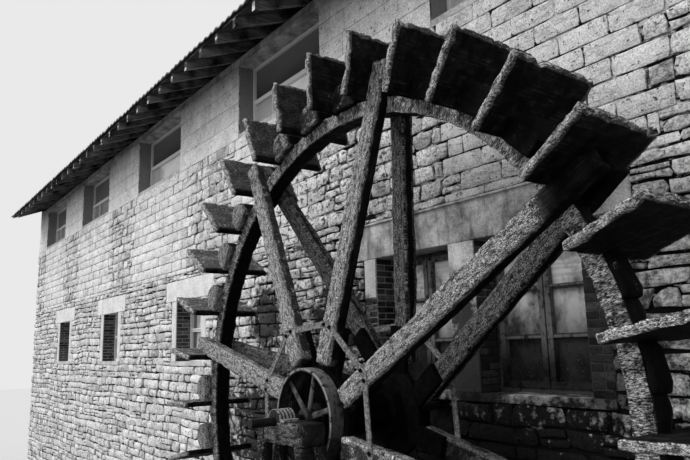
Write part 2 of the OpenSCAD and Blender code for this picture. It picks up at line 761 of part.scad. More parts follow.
// Eight-sided flat iron ring, its corners on the spokes' middle lines
module tie_ring() {
    turn = spoke_angle(0) - asin(spoke_side / tie_r);
    seat = tie_r - tie_w;
    z0 = spoke_spread - seat * tan(spoke_tilt) + spoke_t / cos(spoke_tilt) - tie_t / 2;
    translate([0, 0, z0]) rotate([0, 0, turn]) linear_extrude(tie_t) difference() {
        circle(r = tie_r, $fn = 8);
        circle(r = tie_r - tie_w, $fn = 8);
    }
}
module tie_rings() color("gray") in_place() at_wheel() {
    tie_ring();
    far_side() tie_ring();
}
module belt_pulley() color("gray") in_place() at_wheel() translate([0, 0, pulley_z]) difference() {
    union() {
        difference() {
            cylinder(r = pulley_r, h = pulley_w);
            translate([0, 0, -cut]) cylinder(r = pulley_r - pulley_rim_t, h = pulley_w + 2 * cut);
        }
        cylinder(r = pulley_boss_r, h = pulley_w);
        for (i = [0 : pulley_arms - 1]) rotate([0, 0, i * 360 / pulley_arms + 15])
            translate([0, -pulley_arm_w / 2, (pulley_w - pulley_arm_t) / 2])
                cube([pulley_r - pulley_rim_t / 2, pulley_arm_w, pulley_arm_t]);
    }
    translate([0, 0, -cut]) cylinder(r = gudgeon_r, h = pulley_w + 2 * cut);
}

front_wall_lower();
front_wall_upper();
back_wall_lower();
back_wall_upper();
left_gable();
right_gable();
eaves_beams();
ground_floor();
upper_floor();
lower_lintels();
wheel_lintel();
window_sills();
brick_jambs();
lower_window_frames();
lower_window_glass();
upper_window_frames();
upper_window_glass();
wheel_window_frames();
wheel_window_glass();
wall_plates();
ridge_beam();
rafters();
front_deck();
back_deck();
front_tiles();
back_tiles();
ridge_tiles();
bearing_pier();
bearing_trestle();
bearing_block();
bearing_cap();
wall_bearing_block();
wall_bearing_cap();
axle();
near_gudgeon();
far_gudgeon();
near_hub();
far_hub();
near_spokes();
far_spokes();
rim();
paddles();
paddle_blocks();
tie_rings();
belt_pulley();
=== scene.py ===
import random
from itertools import pairwise
from math import asin, atan2, copysign, cos, floor, hypot, pi, radians, sin, tan

import bmesh
import bpy
from mathutils import Matrix, Vector, noise


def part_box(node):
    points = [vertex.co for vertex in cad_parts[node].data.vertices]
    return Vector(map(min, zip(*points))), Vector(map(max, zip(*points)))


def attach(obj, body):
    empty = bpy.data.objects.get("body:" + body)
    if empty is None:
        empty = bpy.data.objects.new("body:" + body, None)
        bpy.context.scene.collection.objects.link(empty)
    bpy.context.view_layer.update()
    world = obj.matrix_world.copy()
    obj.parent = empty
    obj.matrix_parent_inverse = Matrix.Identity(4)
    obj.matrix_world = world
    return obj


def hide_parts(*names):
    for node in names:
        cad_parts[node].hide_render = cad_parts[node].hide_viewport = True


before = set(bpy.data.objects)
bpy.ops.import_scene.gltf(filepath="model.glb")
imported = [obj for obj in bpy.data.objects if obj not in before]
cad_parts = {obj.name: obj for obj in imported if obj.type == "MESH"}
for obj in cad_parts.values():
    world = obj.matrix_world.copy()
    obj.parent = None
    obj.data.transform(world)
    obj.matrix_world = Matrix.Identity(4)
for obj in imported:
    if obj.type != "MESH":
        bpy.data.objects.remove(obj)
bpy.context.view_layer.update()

noise.seed_set(7)  # without a seed, the noise vectors differ from run to run
print("stage: frame loaded,", len(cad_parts), "nodes")

# Places that everything else hangs on, read from the frame
wallLow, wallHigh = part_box("front_wall_lower")
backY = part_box("back_wall_lower")[1].y
leftX, rightX, faceY, rubbleTop = wallLow.x, wallHigh.x, wallLow.y, wallHigh.z
middleY = (faceY + backY) / 2
halfDepth = backY - middleY
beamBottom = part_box("eaves_beams")[0].z
rimLow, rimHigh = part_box("rim")
wheelSpot = (rimLow + rimHigh) / 2
# The wheel's own frame: x and y in its plane, z along the axle and out from the wall
wheelFrame = Matrix(((1, 0, 0, wheelSpot.x), (0, 0, -1, wheelSpot.y), (0, 1, 0, wheelSpot.z), (0, 0, 0, 1)))

backBays, gableBays = [-11.875, -7.125, -2.375, 2.375, 7.125, 11.875], [-2.25, 2.25]
upperRow = {"width": 2.5, "sill": 8.05, "head": 9.30, "back": backBays, "gable": gableBays,
            "front": [-11.875, -7.425, -2.675, 2.375, 7.125, 11.875]}
lowerRow = {"width": 1.15, "sill": 4.20, "head": 5.36, "jamb": 0.22, "lintelEnd": 1.095, "lintelTop": 5.76,
            "front": [-10.095, -5.645, -0.895, 12.775], "back": backBays, "gable": gableBays}
pairRow = {"width": 1.22, "centres": [5.34, 6.92], "sill": 3.90, "head": 5.43, "brickEdges": (4.51, 7.75),
           "lintelEnds": (4.21, 8.05), "shaftHole": (5.33, 5.97, 3.45)}
sillThickness, cornerLap = 0.08, 0.012


def around(middle, reach):
    return middle - reach, middle + reach


# A side of the house, seen from outside: u runs right, v up, w out of the wall
def sideFrame(origin, right, outward):
    return Matrix.Translation(origin) @ Matrix((right, (0, 0, 1), outward)).transposed().to_4x4()


sides = {
    "front": {"place": sideFrame((0, faceY, 0), (1, 0, 0), (0, -1, 0)), "half": rightX, "row": "front"},
    "back": {"place": sideFrame((0, backY, 0), (-1, 0, 0), (0, 1, 0)), "half": rightX, "row": "back"},
    "left": {"place": sideFrame((leftX, middleY, 0), (0, -1, 0), (-1, 0, 0)), "half": halfDepth, "row": "gable"},
    "right": {"place": sideFrame((rightX, middleY, 0), (0, 1, 0), (1, 0, 0)), "half": halfDepth, "row": "gable"},
}
for side in sides.values():
    side["upper"], side["lower"] = upperRow[side["row"]], lowerRow[side["row"]]
    side["reach"] = side["half"] + cornerLap
    side["holes"] = [(*around(x, row["width"] / 2 + row.get("jamb", 0)), row["sill"] - sillThickness, row["head"])
                     for row in (upperRow, lowerRow) for x in row[side["row"]]]
    side["lintels"] = [(*around(x, lowerRow["lintelEnd"]), lowerRow["head"], lowerRow["lintelTop"])
                       for x in side["lower"]]
    side["holes"] += side["lintels"]
front = sides["front"]["place"]
sides["front"]["holes"] += [
    (*pairRow["brickEdges"], pairRow["sill"] - sillThickness, pairRow["head"]),
    (*pairRow["lintelEnds"], pairRow["head"], rubbleTop),
    (*pairRow["shaftHole"], pairRow["sill"] - sillThickness)]

tree = None  # the nodes of the material or world that is being made


def newTree(name, group="materials"):
    global tree
    owner = getattr(bpy.data, group).new(name)
    owner.use_nodes = True
    tree = owner.node_tree
    tree.nodes.clear()
    return owner


def addNode(kind, links=None, **settings):
    made = tree.nodes.new("ShaderNode" + kind)
    for name, value in settings.items():
        setattr(made, name, value)
    for name, value in (links or {}).items():
        if isinstance(value, bpy.types.NodeSocket):
            tree.links.new(value, made.inputs[name])
        else:
            made.inputs[name].default_value = value
    return made


def position(kind="Object"):
    return addNode("TexCoord").outputs[kind]


def stretched(scale=(1, 1, 1), kind="Object"):
    return addNode("Mapping", {"Vector": position(kind), "Scale": scale}).outputs[0]


def axis(letter, where):
    return addNode("SeparateXYZ", {0: where}).outputs[letter]


def attribute(name):
    return addNode("Attribute", attribute_name=name).outputs["Fac"]


def cloud(where, scale, detail, roughness=0.55):
    return addNode("TexNoise", {"Vector": where, "Scale": scale, "Detail": detail,
                                "Roughness": roughness}).outputs["Fac"]


def between(value, low, high, newLow=0.0, newHigh=1.0):
    return addNode("MapRange", {"Value": value, "From Min": low, "From Max": high,
                                "To Min": newLow, "To Max": newHigh}).outputs[0]


# Rises from 0 to 1 across an edge, or falls where the softness is below 0
def step(value, edge, soft):
    return between(value, edge - soft, edge + soft)


def maths(operation, first, second=0.0):
    return addNode("Math", {0: first, 1: second}, operation=operation).outputs[0]


def plus(first, second):
    return maths("ADD", first, second)


def minus(first, second):
    return maths("SUBTRACT", first, second)


def times(first, second):
    return maths("MULTIPLY", first, second)


def larger(first, second):
    return maths("MAXIMUM", first, second)


def awayFrom(value, middle):
    return maths("ABSOLUTE", minus(value, middle))


# Distance from a spot, seen square to the wall, measured in the reaches given
def distance(x, z, along=1, up=1):
    moved = addNode("Mapping", {"Vector": position(), "Scale": (1 / along, 0, 1 / up),
                                "Location": (-x / along, 0, -z / up)})
    return addNode("VectorMath", {0: moved.outputs[0]}, operation="LENGTH").outputs["Value"]


# A plain number stands for a grey
def grey(value):
    return (value, value, value, 1) if isinstance(value, (int, float)) else value


def ramp(factor, *stops):
    made = addNode("ValToRGB", {0: factor})
    elements = made.color_ramp.elements
    for element, (position, colour) in zip(elements, (stops[0], stops[-1])):
        element.position, element.color = position, grey(colour)
    for position, colour in stops[1:-1]:
        elements.new(position).color = grey(colour)
    return made.outputs["Color"]


def mixed(factor, low, high, mode="MIX"):
    return addNode("Mix", {0: factor, 6: grey(low), 7: grey(high)}, data_type="RGBA", blend_type=mode).outputs[2]


def scaled(colour, share):
    return mixed(1.0, colour, share, "MULTIPLY")


def shaded(colour, share, mask):
    return mixed(mask, colour, scaled(colour, share))


def surface(colour, roughness, height, depth, specular, metallic=0.0, alpha=1.0):
    bump = addNode("Bump", {"Height": height, "Distance": depth}).outputs[0]
    shader = addNode("BsdfPrincipled", {"Base Color": colour, "Roughness": roughness, "Metallic": metallic,
                                        "Specular IOR Level": specular, "Normal": bump, "Alpha": alpha})
    tree.links.new(shader.outputs[0], addNode("OutputMaterial").inputs[0])


# Wet and stained places of the front wall near the wheel, the last one a faint broad darkening of the blocks to its
# right: x, z, reach along, reach up, strength
stains = [(6.5, 3.2, 2.7, 0.9, 1.0), (6.2, 1.4, 4.6, 2.1, 0.97), (2.1, 4.85, 0.5, 0.55, 0.93),
          (2.7, 3.2, 2.1, 1.1, 0.97), (3.95, 4.7, 0.65, 0.65, 0.95), (6.2, 4.15, 0.55, 0.95, 0.97),
          (7.75, 4.3, 0.5, 0.9, 0.85), (9.2, 3.2, 1.1, 1.3, 0.7), (8.0, 6.6, 2.6, 1.5, 0.1)]


def dampness(ragged):
    most = None
    for x, z, along, up, strength in stains:
        spread = plus(distance(x, z, along, up), between(ragged, 0.3, 0.7, 0.05, 0.95))
        here = between(spread, 1.75, 1.2, 0.0, strength)
        most = larger(most, here) if most else here
    return times(most, between(axis("Y", position()), -2.8, -3.2))


# Stone or block: a tone for each stone, mottling, dark pits, level cracks in places and a sandy bump
def masonryMaterial(name, dark, middle, pale, speckle, pits, contrast=0.6, cracks=0.5, grain=90, depth=0.008,
                    wetDark=0.015, eavesShade=0.0):
    material = newTree(name)
    where = stretched()
    x, z = axis("X", where), axis("Z", where)
    broad, fine, patch = cloud(where, 3.2, 5), cloud(where, speckle, 6, 0.75), cloud(where, 11, 6, 0.65)
    level = plus(attribute("tone"), between(broad, 0.3, 0.7, -0.22, 0.22))
    colour = ramp(level, (0.0, dark), (0.5, middle), (1.0, pale))
    # the grain shows more near the wheel and to the right of it
    spots = mixed(between(x, 0.5, 6.5), contrast, contrast * 0.7)
    colour = mixed(between(fine, 0.4, 0.56), scaled(colour, spots), scaled(colour, 1.04))
    colour = shaded(colour, 0.86, between(patch, 0.6, 0.42))
    small = between(cloud(where, 27, 5, 0.6), 0.385, 0.345)
    line = awayFrom(cloud(stretched((1.6, 1.6, 6)), 1.7, 6, 0.6), 0.5)
    split = times(between(line, 0.018, 0.009), between(broad, 0.56, 0.48, 0.0, cracks))
    # inside the wheel the face has broken away in places
    broken = times(between(awayFrom(x, 3.6), 2.3, 1.3, 0.0, 0.1), between(z, 7.6, 6.9))
    sunk = minus(cloud(stretched((0.8, 0.8, 1.5)), 9, 7, 0.72), broken)
    split = larger(split, between(sunk, 0.36, 0.31))
    holes = larger(times(between(patch, pits, pits - 0.1), 0.75), split)
    colour = mixed(larger(holes, small), colour, dark * 0.15)
    if eavesShade:
        # painted shade under the eaves: the wall darkens in blotches towards them, its edge ragged with runs that come
        # down
        runs = cloud(stretched((2.2, 2.2, 1.1)), 1.0, 7, 0.7)
        high = between(plus(z, between(runs, 0.3, 0.7, 0.45, -0.45)), 8.7, 9.6)
        inward = between(maths("ABSOLUTE", x), rightX - 0.01, rightX - 0.03, 0.0, eavesShade)
        colour = shaded(colour, 0.2, times(high, inward))
    colour = shaded(colour, wetDark, dampness(patch))
    height = minus(plus(times(patch, 2.0), cloud(where, grain, 5, 0.7)), split)
    surface(colour, 0.93, height, depth, 0.15)
    return material


# Pale mortar that has fallen out in long patches, which leaves the joints open and black
def mortarMaterial(name, pale, gone, inside=0.5):
    material = newTree(name)
    where = stretched()
    x, y = axis("X", where), axis("Y", where)
    patch, fine = cloud(stretched((1, 1, 2.2)), 4.2, 7, 0.72), cloud(where, 60, 5, 0.7)
    colour = mixed(between(fine, 0.3, 0.7), pale * 0.55, pale)
    # more of it is gone near the wheel and to the right of it, and none inside the openings
    level = minus(patch, between(x, 1.0, 5.0, 0.0, 0.06))
    outside = larger(between(awayFrom(y, middleY), halfDepth - 0.02, halfDepth - 0.01),
                     between(maths("ABSOLUTE", x), rightX - 0.02, rightX - 0.01))
    colour = mixed(times(outside, step(level, gone, -0.03)), colour, 0.004)
    # painted shade: inside the openings, in the reveals, the mortar is darkened by the share given as inside
    colour = mixed(outside, scaled(colour, inside), colour)
    colour = mixed(dampness(patch), colour, 0.004)
    surface(colour, 0.95, fine, 0.006, 0.1)
    return material


# Cast concrete: pale, with stains that run down, or the marks of its boards along it
def concreteMaterial(name, dark, pale, streak, runsBy=(9, 9, 0.7)):
    material = newTree(name)
    where = stretched()
    runs = cloud(stretched(runsBy), 1.0, 5, 0.6)
    patch, fine = cloud(where, 4, 7, 0.7), cloud(where, 60, 6, 0.8)
    colour = ramp(patch, (0.36, dark), (0.62, pale))
    colour = mixed(between(runs, 0.48, 0.34, 0.0, streak), colour, dark * 0.3)
    colour = mixed(between(fine, 0.4, 0.55), scaled(colour, 0.6), colour)
    colour = shaded(colour, 0.03, dampness(patch))
    surface(colour, 0.9, plus(patch, times(fine, 0.5)), 0.004, 0.15)
    return material


# Painted or bare window timber, paint worn through in patches, soaked dark below the height given
def frameMaterial(name, bare, paint, cover, soaked=None):
    material = newTree(name)
    grain, worn = cloud(stretched((30, 30, 2)), 2.0, 6, 0.6), cloud(stretched(), 14, 6, 0.7)
    mask = between(worn, cover, cover + 0.12)
    colour = mixed(mask, paint, ramp(grain, (0.3, bare * 0.4), (0.7, bare)))
    if soaked:
        z = plus(axis("Z", stretched()), between(worn, 0.3, 0.7, -0.1, 0.1))
        colour = shaded(colour, 0.12, step(z, soaked, -0.15))
    surface(colour, 0.8, plus(grain, mask), 0.0015, 0.15)
    return material


# Rough sawn roof timber along Y, its ends and every other face that looks along Y pale, some of them dark
def roofTimberMaterial(name, dark, pale, end):
    material = newTree(name)
    grain, blotch = cloud(stretched((60, 2.5, 60)), 1.0, 6, 0.65), cloud(stretched(), 3, 5)
    colour = ramp(grain, (0.3, dark), (0.7, pale))
    colour = mixed(between(blotch, 0.55, 0.35), colour, dark * 0.6)
    ends = between(maths("ABSOLUTE", axis("Y", position("Normal"))), 0.9, 0.98)
    each = between(cloud(stretched((2.3, 0, 14)), 1.0, 5, 0.7), 0.49, 0.6)
    colour = mixed(ends, colour, mixed(each, end * 0.08, end))
    surface(colour, 0.9, grain, 0.004, 0.1)
    return material


# Wet timber of the wheel: nearly black, with pale growth where the piece's attribute says; on some pieces that
# attribute also carries painted light and painted shade
def wetTimberMaterial(name, dark, wood, growthDark, growthPale, grainBy, hold, fleck=(60, 100, 1), tuft=(12, 34, 1),
                      filmLow=0.002, specular=0.06):
    material = newTree(name)
    grain, blotch = cloud(stretched(grainBy, "UV"), 1.0, 7, 0.68), cloud(stretched(), 9, 6, 0.65)
    speck, tufts = cloud(stretched(fleck, "UV"), 1.0, 5, 0.8), cloud(stretched(tuft, "UV"), 1.0, 5, 0.7)
    growthAndPaintedLight = attribute("growthAndPaintedLight")
    base = ramp(grain, (0.34, dark), (0.56, dark + 0.25 * wood), (0.7, wood))
    base = mixed(between(blotch, 0.62, 0.42), base, dark)
    # a thin film of growth mottles the wood where the cover isn't whole
    film = ramp(speck, (0.4, filmLow), (0.5, max(filmLow, growthDark * 0.4)), (0.62, growthDark * 1.6))
    film = mixed(between(blotch, 0.4, 0.6), scaled(film, 0.45), film)
    base = mixed(between(growthAndPaintedLight, 0.12, 0.42), base, film)
    moss = ramp(speck, (0.4, dark), (0.48, growthDark), (0.58, growthPale))
    moss = mixed(between(tufts, 0.4, 0.56), scaled(moss, 0.16), moss)
    ragged = plus(times(between(blotch, 0.3, 0.7, -0.5, 0.5), 0.9), between(speck, 0.3, 0.7, -0.25, 0.25))
    cover = between(plus(growthAndPaintedLight, ragged), hold, hold + 0.16)
    height = plus(grain, times(times(cover, speck), 1.6))
    surface(mixed(cover, base, moss), between(cover, 0.0, 1.0, 0.7, 0.95), height, 0.008, specular)
    return material


# Rusty iron, paler where the piece's attribute says, or beyond the given radius round the axle: partly rubbed metal,
# partly painted highlight
def ironMaterial(name, dark, pale, rust=0.45, scale=14, roughness=0.6, paleRubAndHighlight=None, beyond=None, specular=0.15):
    material = newTree(name)
    patch, fine = cloud(stretched(), scale, 6, 0.65), cloud(stretched(), 120, 5, 0.7)
    colour = ramp(patch, (0.36, dark), (0.64, pale))
    colour = mixed(between(fine, rust, rust - 0.15), colour, dark * 0.5)
    if paleRubAndHighlight:
        mask = step(distance(wheelSpot.x, wheelSpot.z), beyond, 0.003) if beyond else attribute("rubAndHighlight")
        colour = mixed(times(mask, between(patch, 0.38, 0.5)), colour, paleRubAndHighlight)
    rough = between(patch, 0.3, 0.7, roughness + 0.2, roughness)
    surface(colour, rough, plus(patch, fine), 0.0015, specular, metallic=0.1)
    return material


# Old glass, dusty and misted: a grey for each height, which also carries painted reflection and the painted shade of
# the room behind, upright streaks, and what the room behind adds
def glassMaterial(name, heights, streaks, mist=(8, 8, 1.6), speckles=0.0, swirl=None, paler=None, greyLeaf=None,
                  duller=None):
    material = newTree(name)
    x, z = axis("X", position()), axis("Z", position())
    low, high = heights[0][0], heights[-1][0]
    colour = ramp(between(z, low, high), *[((level - low) / (high - low), value) for level, value in heights])
    if greyLeaf:
        # in each front window one leaf of the sash is grey
        offset, half, top, tone = greyLeaf
        for middle in upperRow["front"]:
            leaf = times(step(awayFrom(x, middle + offset), half, -0.005), step(z, top, -0.01))
            colour = mixed(leaf, colour, tone)
    if duller:
        # to the left of this x, other greys below and above a height
        edge, level, below, above = duller
        colour = mixed(step(x, edge, -0.1), colour, mixed(step(z, level, 0.01), below, above))
    if paler:
        # to the right of this x, pale upright folds
        edge, dark, pale = paler
        folds = cloud(stretched((5, 5, 0.5)), 1.0, 2)
        colour = mixed(step(x, edge, 0.1), colour, mixed(between(folds, 0.45, 0.55), dark, pale))
    if swirl:
        bottom, top, tone = swirl
        bent = addNode("TexWave", {"Vector": stretched((1, 1, 3)), "Scale": 1.6, "Distortion": 9.0, "Detail": 3.0,
                                   "Detail Scale": 1.2}, bands_direction="Z").outputs["Fac"]
        colour = mixed(times(between(bent, 0.3, 0.9), between(z, bottom, top)), colour, tone)
    runs, dust = cloud(stretched(mist), 1.0, 7, 0.7), cloud(stretched(), 60, 5, 0.75)
    colour = mixed(between(runs, 0.6, 0.4, 0.0, streaks), colour, 0.005)
    colour = mixed(between(dust, 0.62, 0.7, 0.0, speckles), colour, 0.5)
    surface(colour, 0.35, dust, 0.0005, 0.12, alpha=0.97)
    return material


def tileMaterial(name):
    material = newTree(name)
    each, patch = cloud(stretched((5, 2.4, 2.4)), 1.0, 1), cloud(stretched(), 6, 6, 0.65)
    fine = cloud(stretched(), 60, 5, 0.7)
    colour = ramp(each, (0.3, 0.1), (0.7, 0.26))
    colour = mixed(between(patch, 0.58, 0.42, 0.0, 0.8), colour, 0.05)
    colour = mixed(between(fine, 0.6, 0.72), colour, 0.4)
    surface(colour, 0.85, plus(patch, fine), 0.004, 0.35)
    return material


def sliceFaces(bm, faces, point, direction):
    edges = dict.fromkeys(e for f in faces for e in f.edges)
    corners = dict.fromkeys(v for f in faces for v in f.verts)
    made = bmesh.ops.bisect_plane(bm, geom=[*corners, *edges, *faces], dist=1e-5, plane_co=point, plane_no=direction)
    return [g for g in made["geom"] if isinstance(g, bmesh.types.BMFace)]


def addObject(name, data):
    made = bpy.data.objects.new(name, data)
    bpy.context.scene.collection.objects.link(made)
    return made


def makePiece(name, bm, look, body="mill", replaced=(), sharp=40, place=None):
    if place is not None:
        bm.transform(place)
    for v in bm.verts:
        v.co.z = max(v.co.z, 0.0)
    mesh = bpy.data.meshes.new(name)
    bm.to_mesh(mesh)
    bm.free()
    mesh.polygons.foreach_set("use_smooth", [True] * len(mesh.polygons))
    mesh.set_sharp_from_angle(angle=radians(sharp))
    mesh.materials.append(look)
    piece = addObject(name, mesh)
    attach(piece, body)
    if replaced:
        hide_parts(*replaced)
    print("piece", name, sum(len(p.vertices) - 2 for p in mesh.polygons), "triangles")


def makeTimber(name, bm, look, node, body="wheel"):
    makePiece(name, bm, look, body, [node], sharp=60)


def finishNodes(look, *names):
    for name in names:
        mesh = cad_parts[name].data
        mesh.materials.clear()
        mesh.materials.append(look)


# Moves points by smooth noise
def shake(corners, size, depth, shift=(0, 0, 0)):
    for v in corners:
        v.co += noise.noise_vector(v.co / size + Vector(shift)) * depth


# All points joined to the first one
def islandOf(first):
    found = {first: None}
    waiting = [first]
    while waiting:
        v = waiting.pop()
        for e in v.link_edges:
            other = e.other_vert(v)
            if other not in found:
                found[other] = None
                waiting.append(other)
    return list(found)


# Solid bar or board from low to high, its edges cut off and its faces cut into cells
def addBar(bm, low, high, cell, edge, place=None):
    low, high = Vector(low), Vector(high)
    size = high - low
    middle = Matrix.Translation((low + high) / 2) @ Matrix.Diagonal((*size, 1))
    corners = bmesh.ops.create_cube(bm, size=1, matrix=middle)["verts"]
    if edge:
        edges = list(dict.fromkeys(e for v in corners for e in v.link_edges))
        made = bmesh.ops.bevel(bm, geom=edges, offset=edge, offset_type="OFFSET", segments=1, profile=0.5,
                               affect="EDGES", material=-1)
        corners = islandOf(made["verts"][0])
    for axis in range(3):
        cuts = int(size[axis] / cell[axis]) - 1
        if cuts < 1:
            continue
        along = []
        for e in dict.fromkeys(e for v in corners for e in v.link_edges):
            way = e.verts[1].co - e.verts[0].co
            if abs(way[axis]) > 0.98 * way.length and way.length > 0.5 * size[axis]:
                along.append(e)
        made = bmesh.ops.subdivide_edges(bm, edges=along, cuts=cuts, use_grid_fill=True)
        corners = islandOf(next(g for g in made["geom_inner"] if isinstance(g, bmesh.types.BMVert)))
    if place is not None:
        bmesh.ops.transform(bm, matrix=place, verts=corners)
    return corners


# A bar whose faces are a little uneven
def addCastBar(bm, low, high, values, place, shift=(0, 0, 0)):
    corners = addBar(bm, low, high, values["cell"], values["edge"])
    shake(corners, values["size"], values["noise"], shift)
    bmesh.ops.transform(bm, matrix=place, verts=corners)


# A flat face from u0 to u1 and v0 to v1, at w
def addPanel(bm, u0, u1, v0, v1, w=0):
    place = Matrix.Translation(((u0 + u1) / 2, (v0 + v1) / 2, w)) @ Matrix.Diagonal((u1 - u0, v1 - v0, 1, 1))
    return bmesh.ops.create_grid(bm, x_segments=1, y_segments=1, size=0.5, matrix=place)["verts"][0].link_faces[0]


def joinInto(target, bm, place):
    bm.transform(place)
    part = bpy.data.meshes.new("part")
    bm.to_mesh(part)
    bm.free()
    target.from_mesh(part)
    bpy.data.meshes.remove(part)


rubble = {"beds": (0.0, 3.82, 4.12, 5.36, 5.76), "course": (0.12, 0.21), "length": (0.18, 0.6), "wave": 0.06,
          "joint": 0.018, "squeeze": 2.0, "lean": 0.3, "split": 0.14, "smallest": 0.05, "proud": 0.008, "relief": 0.020,
          "tilt": 0.05, "shoulder": 0.008, "crown": 0.005, "cornerIn": (0.003, 0.045), "edgeMove": 0.02, "noise": 0.011,
          "noiseSize": 0.07, "tones": (0.66, 0.2)}
blockwork = {"course": 0.2, "length": 0.5, "wander": 0.012, "cuts": 3, "joint": 0.014, "squeeze": 1.6, "lean": 0.02,
             "split": 0.0, "smallest": 0.05, "proud": 0.008, "relief": 0.006, "tilt": 0.02, "shoulder": 0.006,
             "crown": 0.002, "cornerIn": (0.001, 0.022), "edgeMove": 0.008, "noise": 0.004, "noiseSize": 0.06,
             "tones": (0.66, 0.15)}
bandBlocks = {"course": 0.3325, "length": (0.4, 0.85), "joint": 0.006, "squeeze": 1.5, "lean": 0.0, "split": 0.0,
              "smallest": 0.05, "proud": 0.008, "relief": 0.002, "tilt": 0.004, "shoulder": 0.004, "crown": 0.001,
              "cornerIn": (0.001, 0.005), "edgeMove": 0.002, "noise": 0.002, "noiseSize": 0.2, "tones": (0.8, 0.08)}
stonePiers = {**rubble, "length": (0.2, 0.46), "tooth": (0.08, 0.26), "gable": [(-4.5, -3.5), (-0.6, 0.6), (3.5, 4.5)],
              "front": [(-14.25, -13.2), (-10.3, -9.0), (-5.8, -4.3), (-0.8, 0.75), (3.6, 5.95), (8.5, 10.5),
                        (13.3, 14.25)]}
gableWall = {"top": 11.6, "eaves": 9.59, "half": 4.5, "pitch": 22}


def courseLevels(bottom, top, heights, rng):
    made = []
    while sum(made) < top - bottom - 0.02:
        made.append(rng.uniform(*heights))
    share = (top - bottom) / sum(made)
    levels = [bottom]
    for h in made:
        levels.append(levels[-1] + h * share)
    return list(pairwise(levels))


def holeEdges(holes, v0, v1):
    return sorted({round(e, 4) for a, b, low, high in holes if low < v1 - 0.015 and high > v0 + 0.015 for e in (a, b)})


def randomCuts(u0, u1, lengths, edges, rng):
    spots, u = [], u0 + rng.uniform(*lengths)
    while u < u1 - 0.6 * lengths[0]:
        spots.append(u)
        u += rng.uniform(*lengths)
    spots = [s for s in spots if all(abs(s - e) > 0.11 for e in edges)]
    return sorted(spots + [e for e in edges if u0 + 0.03 < e < u1 - 0.03])


# One course of stones from u0 to u1, parted by leaning upright joints
def layCourse(bm, u0, u1, v0, v1, cuts, values, edges, rng):
    rest = addPanel(bm, u0, u1, v0, v1)
    cells = []
    for cut in cuts:
        lean = 0.0 if any(abs(cut - e) < 0.01 for e in edges) else rng.uniform(-1, 1) * values["lean"]
        parts = sliceFaces(bm, [rest], (cut, (v0 + v1) / 2, 0), (1, lean, 0))
        parts.sort(key=lambda f: f.calc_center_median().x)
        cells.append(parts[0])
        rest = parts[-1]
    cells.append(rest)
    for cell in cells:
        if rng.random() < values["split"]:
            share = rng.uniform(0.42, 0.6)
            sliceFaces(bm, [cell], (0, v0 + (v1 - v0) * share, 0), (0, 1, 0))


def layStones(bm, u0, u1, v0, v1, values, holes, rng):
    edges = holeEdges(holes, v0, v1)
    layCourse(bm, u0, u1, v0, v1, randomCuts(u0, u1, values["length"], edges, rng), values, edges, rng)


# A face's least and greatest u, and its least and greatest v
def extents(face):
    return [(min(values), max(values)) for values in zip(*(v.co.xy for v in face.verts))]


# Stones give way to the windows, and slivers that are left go
def clearHoles(bm, holes, smallest):
    for a, b, low, high in holes:
        for level in (low, high):
            crossing = []
            for f in bm.faces:
                (u0, u1), (v0, v1) = extents(f)
                if u1 > a + 0.01 and u0 < b - 0.01 and v0 < level - 0.004 and v1 > level + 0.004:
                    crossing.append(f)
            if crossing:
                sliceFaces(bm, crossing, (0, level, 0), (0, 1, 0))
        centres = [(f, f.calc_center_median()) for f in bm.faces]
        inside = [f for f, c in centres if a < c.x < b and low < c.y < high]
        bmesh.ops.delete(bm, geom=inside, context="FACES")
    slivers = [f for f in bm.faces if min(top - bottom for bottom, top in extents(f)) < smallest]
    bmesh.ops.delete(bm, geom=slivers, context="FACES")


def clamp(value, top=1.0):
    return max(0.0, min(top, value))


# Level courses rise and fall a little, except along the holes and the wall's ends
def waveBeds(bm, half, top, holes, height):
    for v in bm.verts:
        x, y = v.co.xy
        room = min([half - abs(x), y, top - y] + [hypot(max(a - x, 0, x - b), max(low - y, 0, y - high))
                                                  for a, b, low, high in holes])
        calm = clamp(room / 0.45) * (1 + clamp((x - 2.5) / 1.5, 1.3))
        v.co.y += calm * height * (noise.noise((x * 0.55, y * 0.8, 3.1)) + 0.4 * noise.noise((x * 2.1, y * 2.6, 6.4)))
        v.co.x += calm * height * 0.8 * noise.noise((x * 1.6, v.co.y * 3.1, 9.7))


